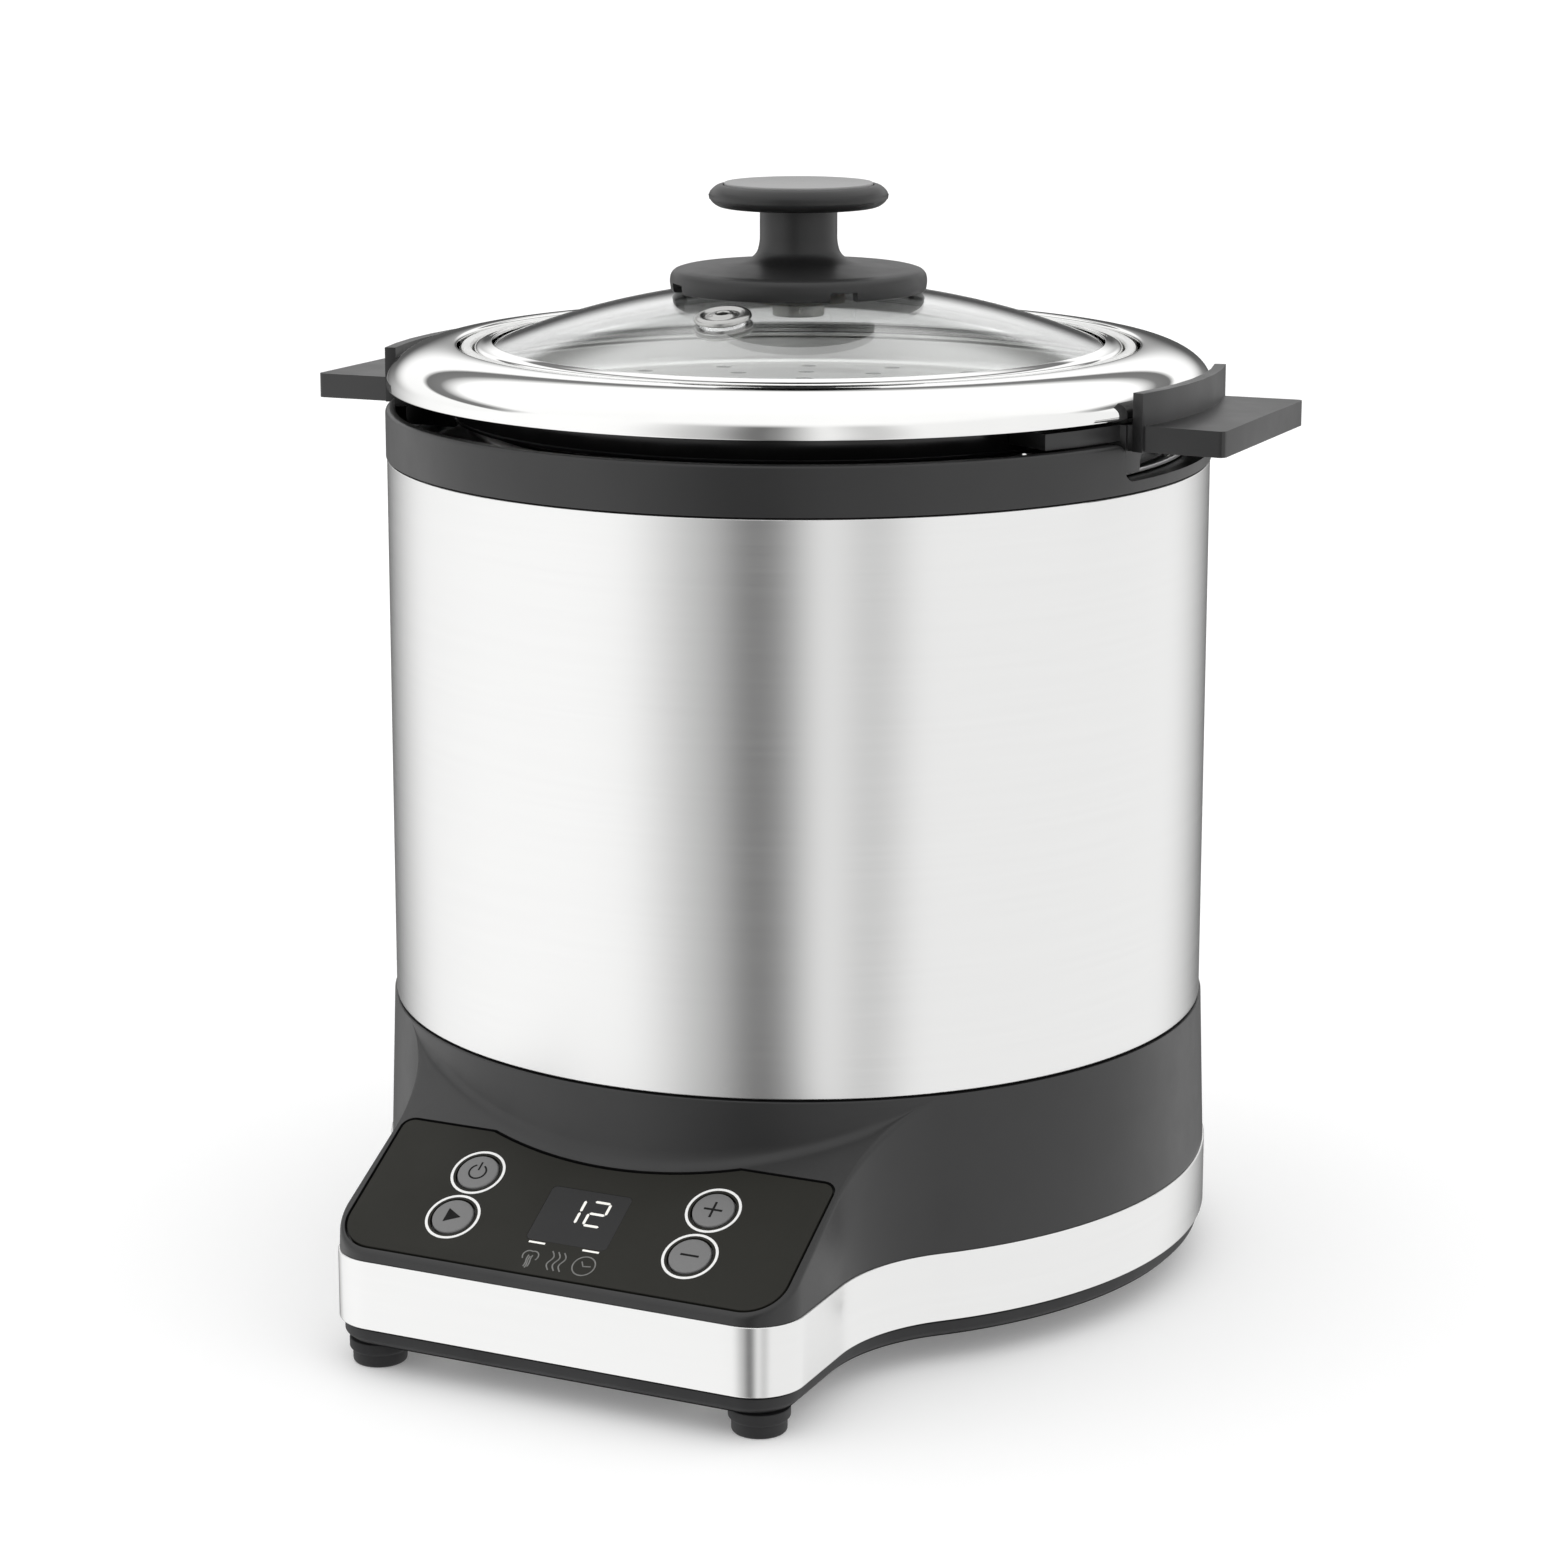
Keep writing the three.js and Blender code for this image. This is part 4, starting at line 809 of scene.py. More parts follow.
for name, at in BUTTONS.items():
    shift = on_deck(np.array([at])) - on_deck(np.zeros((1, 2)))
    parts = [(on_deck(spin_points(section, 72)), grid_faces(72, len(section)).tolist())
             for section in (key_section, key_stem)]
    points, faces = gather(parts)
    make_piece("key_" + name, points + shift, faces, "button_" + name, key_grey, "button_grey",
               "button_" + name)
    points, faces = gather(key_marks[name])
    make_piece("mark_" + name, points + shift, faces, "button_" + name, key_mark, "button_grey")

# ---------------------------------------------------------------- boards, switches and leads
# The green control board under the deck with its switches and display module, and the mains board on the
# plate. They are dip-soldered glass-fibre boards with black moulded parts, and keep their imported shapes.


def carry_over(finish, *nodes):
    """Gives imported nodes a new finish."""
    for name in nodes:
        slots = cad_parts[name].data.materials
        slots.clear()
        slots.append(finish)


board_green, tree, shader = new_finish("board_green", (0.02, 0.11, 0.045), 0.38, Coat_Weight=0.3)
tracks = add_node(tree, "TexBrick", {"offset": 0.35}, Vector=place(tree), Scale=190.0)
tracks.inputs["Color1"].default_value = (0.018, 0.105, 0.042, 1)
tracks.inputs["Color2"].default_value = (0.024, 0.125, 0.052, 1)
tracks.inputs["Mortar"].default_value = (0.045, 0.19, 0.085, 1)
tracks.inputs["Mortar Size"].default_value = 0.03
tree.links.new(tracks.outputs["Color"], shader.inputs["Base Color"])
tree.links.new(mottle(tree, 260.0, 0.3, 0.46), shader.inputs["Roughness"])
part_black = moulded("switch_black", (0.012, 0.012, 0.013), (0.022, 0.022, 0.023), (0.36, 0.5), 4200.0,
                     0.00001, 0.3)
lead_silicone = moulded("lead_sleeve", (0.05, 0.012, 0.010), (0.075, 0.02, 0.016), (0.45, 0.6), 1800.0)
carry_over(board_green, "control_board", "power_board")
carry_over(part_black, "display_module", *["tact_switch_" + name for name in BUTTONS])
carry_over(lead_silicone, "heater_lead_live", "heater_lead_neutral")

# ---------------------------------------------------------------- mains socket
# A two-pole appliance inlet at the back: a moulded flange on the housing, a socket with two round lobes,
# and two brass pins with rounded tips.


def socket_rows():
    """The inlet as rings of points laid one inside the next: flange rim, its rounded front, the mouth, the
    recess wall with its rounded bottom. Each ring is (outline half length, radius, depth from the face)."""
    a = np.linspace(0, 2 * np.pi, 73)[:-1]
    face = inlet_high[1] - axis_y
    back = inlet_low[1] - axis_y
    side = np.sign(np.cos(a)) * (np.abs(np.cos(a)) > 1e-9)
    rows = [(7.7, 4.8, face - 1.8), (7.7, 4.8, face - 0.5), (7.5, 4.6, face - 0.12), (7.2, 4.3, face),
            (4.3, 4.45, face), (4.3, 4.25, face - 0.2), (4.3, 4.2, face - 0.6), (4.3, 4.2, face - 11.2),
            (4.1, 3.9, face - 11.5)]
    points = [np.stack([half * side + radius * np.cos(a), np.full(72, y), inlet_z + radius * np.sin(a) *
                        (1.42 if k < 4 else 1.0)], axis=1) for k, (half, radius, y) in enumerate(rows)]
    body = [np.stack([half * side + radius * np.cos(a), np.full(72, y), inlet_z + radius * np.sin(a)],
                     axis=1)
            for half, radius, y in ((4.1, 5.2, back), (4.1, 5.4, back + 0.3), (4.1, 5.4, face - 1.8))]
    return points, body


rows, body_rows = socket_rows()
stack = np.stack(rows[::-1] + body_rows[::-1])
inlet_black = moulded("inlet_black", (0.010, 0.010, 0.0105), (0.0145, 0.0145, 0.015), (0.34, 0.44), 3000.0)
make_piece("inlet_moulding", stack, capped_faces(*stack.shape[:2]), "base", inlet_black, "component_black",
           "power_inlet", crease=40)
brass, tree, shader = new_finish("pin_brass", (0.72, 0.58, 0.32), 0.24, 1.0)
two_tone(tree, shader, mottle(tree, 800.0, 0.0, 1.0), (0.66, 0.52, 0.28), (0.78, 0.64, 0.38))
tree.links.new(mottle(tree, 500.0, 0.18, 0.3), shader.inputs["Roughness"])
for name in ("live", "neutral"):
    low, high = (np.array(corner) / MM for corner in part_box("inlet_pin_" + name))
    section = rounded([(0.0, 0.0), (1.14, 0.0, 0.2), (1.14, high[1] - low[1], 0.8),
                       (0.0, high[1] - low[1])], 7)
    points = spin_points(section, 48)
    points = np.stack([points[..., 0], points[..., 2], -points[..., 1]], axis=-1)
    points += ((low[0] + high[0]) / 2, low[1] - axis_y, (low[2] + high[2]) / 2)
    make_piece("pin_" + name, points, grid_faces(48, len(section)), "base", brass, "brass",
               "inlet_pin_" + name)

# ---------------------------------------------------------------- outer shell
# A tube of 0.8 mm stainless steel, brushed round its length, seamed at the back and trapped between the
# housing's spigot and the black top ring.

shell_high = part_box("outer_shell")[1][2] / MM
shell_section = rounded([
    (SHELL_RADIUS, SHELL_LOW, 0.3), (SHELL_RADIUS, shell_high, 0.3),
    (SHELL_RADIUS - SHEET, shell_high, 0.2), (SHELL_RADIUS - SHEET, SHELL_LOW, 0.2),
], 4)
spin("shell_tube", shell_section, "base", brushed_steel, "brushed_steel", "outer_shell", turns=256,
     crease=50)

# ---------------------------------------------------------------- top ring
# The black moulded rim that closes the body. It has a ledge for the inner liner, a spigot inside the shell
# and a wide notch at each side, with rounded corners, for the pot's handles to drop into.

ring_low, ring_high = shell_high + 0.3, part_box("top_ring")[1][2] / MM
RING_RADIUS = (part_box("top_ring")[1][0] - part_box("top_ring")[0][0]) / 2 / MM
NOTCH_HALF, NOTCH_FLOOR, NOTCH_CORNER = 24.0, ring_low + 2.1, 2.5


def notch_height(across):
    """Height of the ring's top edge at a distance from a notch's middle: the floor, a hollow quarter circle,
    an upright side, a rounded quarter circle, and then the full height."""
    d, r = np.abs(across), NOTCH_CORNER
    low = NOTCH_FLOOR + r - np.sqrt(np.clip(r**2 - np.clip(d - NOTCH_HALF + r, 0, r) ** 2, 0, None))
    high = ring_high - r + np.sqrt(np.clip(r**2 - np.clip(NOTCH_HALF + r - d, 0, r) ** 2, 0, None))
    return np.where(d < NOTCH_HALF, low, high)


def crowded_turns(spots, spread, count, near):
    """Angles round a circle: even ones, and closer ones within the spread of each given spot."""
    even = np.arange(count) * (2 * np.pi / count)
    close = (np.asarray(spots)[:, None] + np.linspace(-spread, spread, near)[None]).ravel() % (2 * np.pi)
    away = np.abs((even[:, None] - np.asarray(spots)[None] + np.pi) % (2 * np.pi) - np.pi).min(axis=1)
    return np.unique(np.round(np.concatenate([even[away > spread * 1.01], close]), 9))


side_angle = math.asin(NOTCH_HALF / RING_RADIUS)
ring_turns = crowded_turns([side_angle, -side_angle, math.pi - side_angle, math.pi + side_angle], 0.05, 240,
                           61)
ledge_height = ring_low + 2.0
inner_ring = RING_RADIUS - 2.2
ring_section = rounded([
    (72.8, ring_low, 0.2), (SHELL_RADIUS - 2.7, ring_low, 0.1), (SHELL_RADIUS - 2.7, ring_low - 4, 0.3),
    (SHELL_RADIUS - 1.1, ring_low - 4, 0.3), (SHELL_RADIUS - 1.1, ring_low, 0.1),
    (RING_RADIUS, ring_low, 0.2),
    (RING_RADIUS, ledge_height + 0.3), (RING_RADIUS, ring_high, 0.9), (inner_ring, ring_high, 0.6),
    (inner_ring, ledge_height, 0.3), (72.8, ledge_height, 0.3),
], 6)
ring_points = spin_points(ring_section, ring_turns)
upper = ring_points[..., 2] > NOTCH_FLOOR - 0.5
limit = notch_height(ring_points[..., 1])
ring_points[..., 2] = np.where(upper & (np.hypot(ring_points[..., 0], ring_points[..., 1]) > 75),
                               np.minimum(ring_points[..., 2], limit), ring_points[..., 2])
make_piece("rim_moulding", ring_points, grid_faces(*ring_points.shape[:2]), "base", moulded_black,
           "black_plastic", "top_ring", crease=40)

# ---------------------------------------------------------------- inner liner
# A spun aluminium well that hangs from the ring's ledge and holds the heater. Spinning leaves fine rings
# round its wall and floor.

liner_low, liner_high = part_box("inner_liner")[0][2] / MM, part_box("inner_liner")[1][2] / MM
LINER = 71.8
HEATER = (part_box("heater_plate")[1][0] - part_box("heater_plate")[0][0]) / 2 / MM


def spun_metal(name, dark, light, gloss, pitch, metallic=1.0, **sockets):
    """Turned or spun metal: fine rings that follow the distance from the axis and the height, drifting a
    little in tone and gloss."""
    finish, tree, shader = new_finish(name, light, gloss[1], metallic, **sockets)
    centred = add_node(tree, "Mapping", None, Vector=place(tree))
    centred.inputs["Location"].default_value = (0.0, -axis_y * MM, 0.0)
    split = add_node(tree, "SeparateXYZ", None, Vector=centred.outputs[0])
    flat = add_node(tree, "CombineXYZ", None, X=split.outputs["X"], Y=split.outputs["Y"])
    reach = add_node(tree, "VectorMath", {"operation": "LENGTH"})
    tree.links.new(flat.outputs[0], reach.inputs[0])
    rings = add_node(tree, "CombineXYZ", None, X=reach.outputs["Value"], Z=split.outputs["Z"])
    noise = add_node(tree, "TexNoise", None, Vector=rings.outputs[0], Scale=pitch, Detail=3.0,
                     Roughness=0.6)
    two_tone(tree, shader, remap(tree, noise.outputs[0], NOISE_RANGE), dark, light)
    tree.links.new(remap(tree, noise.outputs[0], NOISE_RANGE, gloss), shader.inputs["Roughness"])
    bump(tree, shader, noise.outputs[0], 0.2, 0.00003)
    return finish


aluminium = spun_metal("spun_aluminium", (0.58, 0.58, 0.58), (0.70, 0.70, 0.70), (0.30, 0.42), 900.0)
liner_section = rounded([
    (17.0, liner_low, 0.2), (LINER, liner_low, 4.0), (LINER, liner_high - 0.8, 1.2),
    (75.8, liner_high - 0.8, 0.1),
    (75.8, liner_high, 0.2), (LINER - 0.8, liner_high, 1.6), (LINER - 0.8, liner_low + 0.8, 3.8),
    (17.0, liner_low + 0.8, 0.2),
], 8)
spin("liner_well", liner_section, "base", aluminium, "cast_aluminium", "inner_liner", turns=144, crease=50)

# ---------------------------------------------------------------- heater plate
# A cast aluminium disc, turned smooth on top, with a hole in its middle for the sensor and a shallow step
# where the heating element is cast in round its rim.

heater_low, heater_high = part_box("heater_plate")[0][2] / MM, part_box("heater_plate")[1][2] / MM
cast = spun_metal("cast_aluminium", (0.50, 0.50, 0.49), (0.62, 0.62, 0.61), (0.36, 0.5), 1400.0)
heater_section = rounded([
    (15.0, heater_low, 0.3), (HEATER - 8, heater_low, 1.0), (HEATER - 0.6, heater_low + 5, 2.0),
    (HEATER, heater_low + 8, 0.6), (HEATER, heater_high - 2, 0.8), (HEATER * 0.6, heater_high, 6.0),
    (38.0, heater_high, 0.3), (37.6, heater_high - 0.5, 0.3), (36.2, heater_high - 0.5, 0.3),
    (35.8, heater_high, 0.3),
    (16.2, heater_high, 0.4), (15.0, heater_high - 1, 0.4),
], 5)
spin("heater_casting", heater_section, "base", cast, "cast_aluminium", "heater_plate", turns=144, crease=50)

# ---------------------------------------------------------------- sensor
# The spring-loaded cup in the middle of the heater feels the pot's floor. The cup is drawn aluminium; the
# holder below is pressed steel. The wire spring is coiled steel and squeezes with the cup.

cup_top, cup_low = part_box("thermostat_plunger")[1][2] / MM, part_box("thermostat_plunger")[0][2] / MM
cup_section = rounded([
    (0.0, cup_top), (12.4, cup_top, 1.4), (12.4, cup_top - 10, 0.4), (11.2, cup_top - 10, 0.3),
    (11.2, cup_top - 1.2, 1.0), (4.0, cup_top - 1.2, 0.5), (4.0, cup_low, 0.8), (0.0, cup_low),
], 6)
spin("sensor_cup", cup_section, "thermostat", aluminium, "cast_aluminium", "thermostat_plunger", turns=96,
     crease=50)
holder_low, holder_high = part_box("thermostat_holder")[0][2] / MM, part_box("thermostat_holder")[1][2] / MM
pressed = spun_metal("pressed_steel", (0.55, 0.55, 0.54), (0.66, 0.66, 0.65), (0.3, 0.42), 700.0)
holder_section = rounded([
    (4.3, holder_low, 0.2), (13.8, holder_low, 1.0), (13.8, holder_high - 1.2, 0.6),
    (21.0, holder_high - 1.2, 0.2),
    (21.0, holder_high, 0.2), (12.6, holder_high, 0.8), (12.6, holder_low + 1.2, 0.9),
    (4.3, holder_low + 1.2, 0.2),
], 6)
spin("sensor_holder", holder_section, "base", pressed, "brushed_steel", "thermostat_holder", turns=96,
     crease=50)
spring_steel, tree, shader = new_finish("spring_wire", (0.5, 0.5, 0.49), 0.3, 1.0)
two_tone(tree, shader, mottle(tree, 900.0, 0.0, 1.0), (0.44, 0.44, 0.43), (0.58, 0.58, 0.57))
carry_over(spring_steel, "thermostat_spring")
fuse_white, tree, shader = new_finish("fuse_ceramic", (0.62, 0.60, 0.55), 0.4)
two_tone(tree, shader, mottle(tree, 1200.0, 0.0, 1.0), (0.55, 0.53, 0.48), (0.68, 0.66, 0.61))
carry_over(fuse_white, "thermal_fuse")

# ---------------------------------------------------------------- pot
# The lift-out pot, deep-drawn in stainless steel and mirror-polished. Its mouth turns over into a wide
# curved flange that falls away to a rolled edge, with a step inside for the steamer to rest on.

flange_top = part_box("inner_pot")[1][2] / MM
FLANGE_OUT = (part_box("inner_pot")[1][0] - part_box("inner_pot")[0][0]) / 2 / MM
pot_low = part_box("inner_pot")[0][2] / MM
POT, POT_WALL, MOUTH = 64.8, 1.6, 66.1
FLANGE_IN, FLANGE_DROP, POT_LEDGE = MOUTH + 0.8, 7.4, flange_top - 5.8


def flange_curve(inset, count):
    """The flange's crown: distance = inner + span sin a, height = edge + drop cos a, a quarter of an ellipse,
    moved inwards by the sheet's thickness for its underside."""
    a = np.linspace(0, np.pi / 2, count)
    span, drop = FLANGE_OUT - FLANGE_IN - inset, FLANGE_DROP - inset * 0.9
    return np.stack([FLANGE_IN + inset * 0.6 + (span + inset * 0.4) * np.sin(a),
                     flange_top - FLANGE_DROP - inset * 0.1 + drop * np.cos(a)], axis=1)


edge_z = flange_top - FLANGE_DROP
inner_wall = rounded([(0.0, pot_low + 2.0), (POT - POT_WALL, pot_low + 2.0, 11.0),
                      (POT - POT_WALL, POT_LEDGE, 0.7),
                      (MOUTH, POT_LEDGE, 0.4), (MOUTH, flange_top, 0.8), (FLANGE_IN, flange_top)], 10)
outer_wall = rounded([(FLANGE_IN + 0.8, flange_top - 1.2), (MOUTH + 1.2, flange_top - 1.4, 0.6),
                      (MOUTH + 1.2, POT_LEDGE - 1.0, 0.3), (POT, POT_LEDGE - 1.2, 0.4),
                      (POT, pot_low + 7.5, 1.2),
                      (POT - 1.3, pot_low + 6.0, 0.8), (POT - 1.3, pot_low + 5.2, 0.5),
                      (POT - 1.0, pot_low + 2.0, 2.2),
                      (POT - 5.5, pot_low, 1.5), (0.0, pot_low)], 8)
rolled = rounded([(FLANGE_OUT, edge_z, 0.05), (FLANGE_OUT, edge_z - 0.6, 0.3),
                  (FLANGE_OUT - 1.2, edge_z - 0.6, 0.3),
                  (FLANGE_OUT - 1.2, edge_z, 0.1)], 5)
pot_section = np.vstack([inner_wall, flange_curve(0.0, 40)[1:], rolled, flange_curve(1.2, 24)[::-1],
                         outer_wall])


def polished(name, dark, light, gloss):
    """Polished stainless steel with a faint uneven haze in its tone and gloss."""
    finish, tree, shader = new_finish(name, light, gloss[1], 1.0)
    two_tone(tree, shader, mottle(tree, 30.0, 0.0, 1.0), dark, light)
    tree.links.new(mottle(tree, 120.0, *gloss), shader.inputs["Roughness"])
    return finish


polished_steel = polished("polished_steel", (0.80, 0.80, 0.79), (0.84, 0.84, 0.83), (0.03, 0.05))
spin("pot_vessel", pot_section, "pot", polished_steel, "polished_steel", "inner_pot", turns=256, crease=28)

# ---------------------------------------------------------------- pot collar
# A glossy black band clamped round the pot under its flange. It carries both handles.

collar_low, collar_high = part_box("pot_collar")[0][2] / MM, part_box("pot_collar")[1][2] / MM
COLLAR = 67.6
collar_section = rounded([
    (POT + 0.3, collar_low, 0.2), (COLLAR, collar_low, 1.7), (COLLAR, collar_high, 0.4),
    (POT + 0.3, collar_high, 0.2),
], 8)
gloss_black = moulded("collar_gloss", (0.008, 0.008, 0.0085), (0.011, 0.011, 0.0115), (0.12, 0.2), 1200.0,
                      0.000004, 0.1)
spin("collar_band", collar_section, "pot", gloss_black, "collar_black", "pot_collar", turns=192, crease=50)

# ---------------------------------------------------------------- pot handles
# Two black moulded handles. Each has a flat grip with eased edges, an upstand that hugs the flange, arms
# along the collar and a leg that drops into the ring's notch, screwed through to the collar.

for side in ("left", "right"):
    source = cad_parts["pot_handle_" + side]
    work = bmesh.new()
    work.from_mesh(source.data)
    bmesh.ops.remove_doubles(work, verts=work.verts, dist=1e-6)
    bmesh.ops.dissolve_limit(work, angle_limit=math.radians(1.0), verts=work.verts, edges=work.edges)
    mesh = bpy.data.meshes.new("grip_" + side)
    work.to_mesh(mesh)
    work.free()
    mesh.materials.clear()
    mesh.materials.append(moulded_black)
    grip = bpy.data.objects.new("grip_" + side, mesh)
    bpy.context.scene.collection.objects.link(grip)
    ease = grip.modifiers.new("ease", "BEVEL")
    ease.width, ease.segments, ease.limit_method, ease.angle_limit = 0.0008, 4, "ANGLE", math.radians(28)
    bake(grip)
    smooth(grip, 40)
    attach(grip, "pot")
    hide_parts("pot_handle_" + side)
    low, high = (np.array(corner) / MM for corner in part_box("handle_screw_" + side))
    out = 1 if side == "right" else -1
    middle = (low + high) / 2
    face = np.stack([np.linspace(0, 1.3, 10), np.zeros(10)], axis=1)
    head = rounded([(1.7, 0.0, 0.3), (1.7, 1.2, 0.1), (0.9, 1.2, 0.1), (0.9, 1.8, 0.1), (0.02, 1.8)], 4)
    section = np.vstack([face, head])
    section[:, 1] *= -1
    points = cross_head(spin_points(section, 72), (0, 0), 0.0, 1.25, 0.6, False)
    points = np.stack([points[..., 2] * out, points[..., 1], points[..., 0]], axis=-1)
    points += (high[0] if out > 0 else low[0], middle[1] - axis_y, middle[2])
    make_piece("grip_screw_" + side, points, grid_faces(*points.shape[:2]), "pot", zinc, "zinc_screws",
               "handle_screw_" + side)

# ---------------------------------------------------------------- steamer insert
# A shallow polished tray that hangs in the pot's mouth: a rolled bead, a step for the lid, and a floor
# punched with rows of holes that fan out from the middle.

steam_top, steam_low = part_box("steamer_insert")[1][2] / MM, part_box("steamer_insert")[0][2] / MM
BEAD, RIM_IN, WELL = 65.4, 63.3, 60.6
STEAM_LEDGE, STEAM_FLOOR = steam_top - 4.7, steam_low + 1.0
steam_section = rounded([
    (0.0, STEAM_FLOOR), (WELL, STEAM_FLOOR, 2.4), (WELL, STEAM_LEDGE, 0.6),
    (RIM_IN, STEAM_LEDGE + 0.3, 0.5),
    (RIM_IN, steam_top, 0.9), (BEAD, steam_top, 0.8), (BEAD, STEAM_LEDGE - 0.5, 0.5),
    (62.9, STEAM_LEDGE - 0.5, 0.2),
    (62.9, STEAM_LEDGE - 1.4, 0.2), (WELL + 1.0, STEAM_LEDGE - 1.7, 0.6),
    (WELL + 1.0, STEAM_FLOOR - 1.0, 2.2),
    (0.0, STEAM_FLOOR - 1.0),
], 7)
tray_steel = polished("tray_steel", (0.84, 0.84, 0.83), (0.90, 0.90, 0.89), (0.32, 0.40))
tray = spin("steamer_tray", steam_section, "steamer", tray_steel, "polished_steel", "steamer_insert",
            turns=224, crease=32)
row = np.arange(20)[:, None]
reach = np.array([57.0, 45.0, 33.0, 21.0, 13.2])[None, :]
reach, way = np.broadcast_arrays(reach, np.radians(4.7 + 18.0 * row))
keep = ~((reach < 14) & (row % 2 == 1))
holes = np.stack([reach[keep] * np.cos(way[keep]), reach[keep] * np.sin(way[keep])], axis=1)
carve(tray, gather([slab(circle(at, 1.7, 20), STEAM_FLOOR - 3, STEAM_FLOOR + 1) for at in holes]))
smooth(tray, 32)

# ---------------------------------------------------------------- glass lid
# A domed disc of tempered glass 2.2 mm thick with ground edges, drilled for the knob's screw and the vent.
# A rolled steel rim is shrunk round its edge.

glass_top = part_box("lid_glass")[1][2] / MM
GLASS = (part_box("lid_glass")[1][0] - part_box("lid_glass")[0][0]) / 2 / MM
GLASS_RISE = 12.3
glass_edge = glass_top - GLASS_RISE
DOME = (GLASS**2 + GLASS_RISE**2) / (2 * GLASS_RISE)


def dome_height(distance):
    """Height of the glass's outer face: a sphere's cap that stands its rise above the edge."""
    return glass_edge + GLASS_RISE - DOME + np.sqrt(DOME**2 - np.asarray(distance, float) ** 2)


spots = np.linspace(3.5, GLASS - 0.7, 60)
top_line = np.stack([spots, dome_height(spots)], axis=1)
edge_a = np.linspace(np.pi / 2, -np.pi / 2, 9)[1:-1]
edge_line = np.stack([GLASS - 0.7 + 0.7 * np.cos(edge_a),
                      dome_height(GLASS - 0.7) - 1.1 + 1.1 * np.sin(edge_a)], axis=1)
bore_line = np.stack([[3.2, 3.2], [dome_height(3.2) - 1.9, dome_height(3.2) - 0.3]], axis=1)
glass_section = np.vstack([top_line, edge_line, top_line[::-1] - (0, 2.2), bore_line])
clear_glass, tree, shader = new_finish("clear_glass", (0.985, 0.995, 0.99), 0.0, 0.0,
                                       Transmission_Weight=1.0, IOR=1.47)
tree.links.new(mottle(tree, 25.0, 0.0, 0.02), shader.inputs["Roughness"])
dome = spin("glass_dome", glass_section, "lid", clear_glass, "clear_glass", "lid_glass", turns=224,
            crease=40)
VENT = 33.5
vent_tilt = math.asin(VENT / DOME)


def on_vent(points):
    """Turns points made about Z so that they stand square on the dome, straight in front of the knob."""
    c, s = math.cos(vent_tilt), math.sin(vent_tilt)
    x, y, z = points[..., 0], points[..., 1], points[..., 2]
    return np.stack([x, y * c - z * s - VENT, y * s + z * c + float(dome_height(VENT))], axis=-1)


points, faces = slab(circle((0, 0), 4.5, 40), -8, 8)
carve(dome, (on_vent(points), faces))
smooth(dome, 40)

rim_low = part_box("lid_rim")[0][2] / MM
RIM_OUT, RIM_LAP = 62.9, 59.4
lap_z = float(dome_height(RIM_LAP)) + 0.3
rim_section = rounded([
    (RIM_LAP, rim_low, 0.2), (RIM_OUT, rim_low, 0.7), (RIM_OUT, glass_edge + 0.9, 0.9),
    (GLASS - 0.1, glass_edge + 1.1, 0.6),
    (RIM_LAP, lap_z + 0.6, 0.25), (RIM_LAP, lap_z, 0.1), (GLASS + 0.3, glass_edge + 0.2, 0.2),
    (GLASS + 0.3, rim_low + 0.6, 0.2),
    (RIM_LAP, rim_low + 0.6, 0.1),
], 6)
spin("lid_edge", rim_section, "lid", polished_steel, "polished_steel", "lid_rim", turns=224, crease=40)

vent_section = rounded([
    (1.1, -3.6, 0.2), (5.5, -3.6, 0.5), (5.5, -2.5, 0.2), (4.2, -2.5, 0.1), (4.2, 0.3, 0.1),
    (5.5, 0.3, 0.2),
    (5.4, 1.1, 0.5), (4.2, 1.4, 0.5), (3.6, 0.9, 0.5), (2.4, 0.9, 0.5), (1.9, 1.4, 0.4), (1.1, 1.4, 0.3),
], 6)
eyelet_steel = polished("eyelet_steel", (0.40, 0.40, 0.39), (0.48, 0.48, 0.47), (0.20, 0.28))
make_piece("vent_eyelet", on_vent(spin_points(vent_section, 72)), grid_faces(72, len(vent_section)), "lid",
           eyelet_steel, "polished_steel", "vent_grommet", crease=45)

# ---------------------------------------------------------------- knob
# A two-part black moulded knob: a wide foot with four drain notches in its skirt and a slim stem, and a
# round grip on top with an inlaid grey cap. One screw from under the glass holds it, with two washers.

knob_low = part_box("knob_base")[0][2] / MM
stem_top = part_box("knob_base")[1][2] / MM
KNOB = 25.0
shoulder, crown = knob_low + 4.2, knob_low + 6.2
knob_section = rounded([
    (3.2, glass_top + 1.5, 0.2), (10.0, glass_top + 1.5, 0.3), (10.2, glass_top + 1.2, 0.3),
    (KNOB - 2.6, knob_low + 1.9, 0.6), (KNOB - 2.5, knob_low, 0.3), (KNOB - 0.3, knob_low, 0.5),
    (KNOB, knob_low + 2.1, 0.8), (KNOB - 0.4, shoulder - 0.5, 0.9), (KNOB - 1.8, shoulder + 0.1, 0.9),
    (10.8, crown - 0.6, 1.2), (8.4, crown + 0.3, 1.4), (7.5, crown + 2.6, 1.6), (7.5, stem_top, 0.15),
    (3.2, stem_top, 0.1),
], 8)
notch_spots = (np.arange(4) + 0.5) * np.pi / 2
notch_edge = math.asin(2.8 / KNOB)
knob_turns = crowded_turns(np.concatenate([notch_spots - notch_edge, notch_spots + notch_edge]), 0.03, 160,
                           25)
knob_points = spin_points(knob_section, knob_turns)
along = np.abs(-np.sin(notch_spots)[:, None, None] * knob_points[None, ..., 0]
               + np.cos(notch_spots)[:, None, None] * knob_points[None, ..., 1]).min(axis=0)
skirt = np.hypot(knob_points[..., 0], knob_points[..., 1]) > KNOB - 3.2
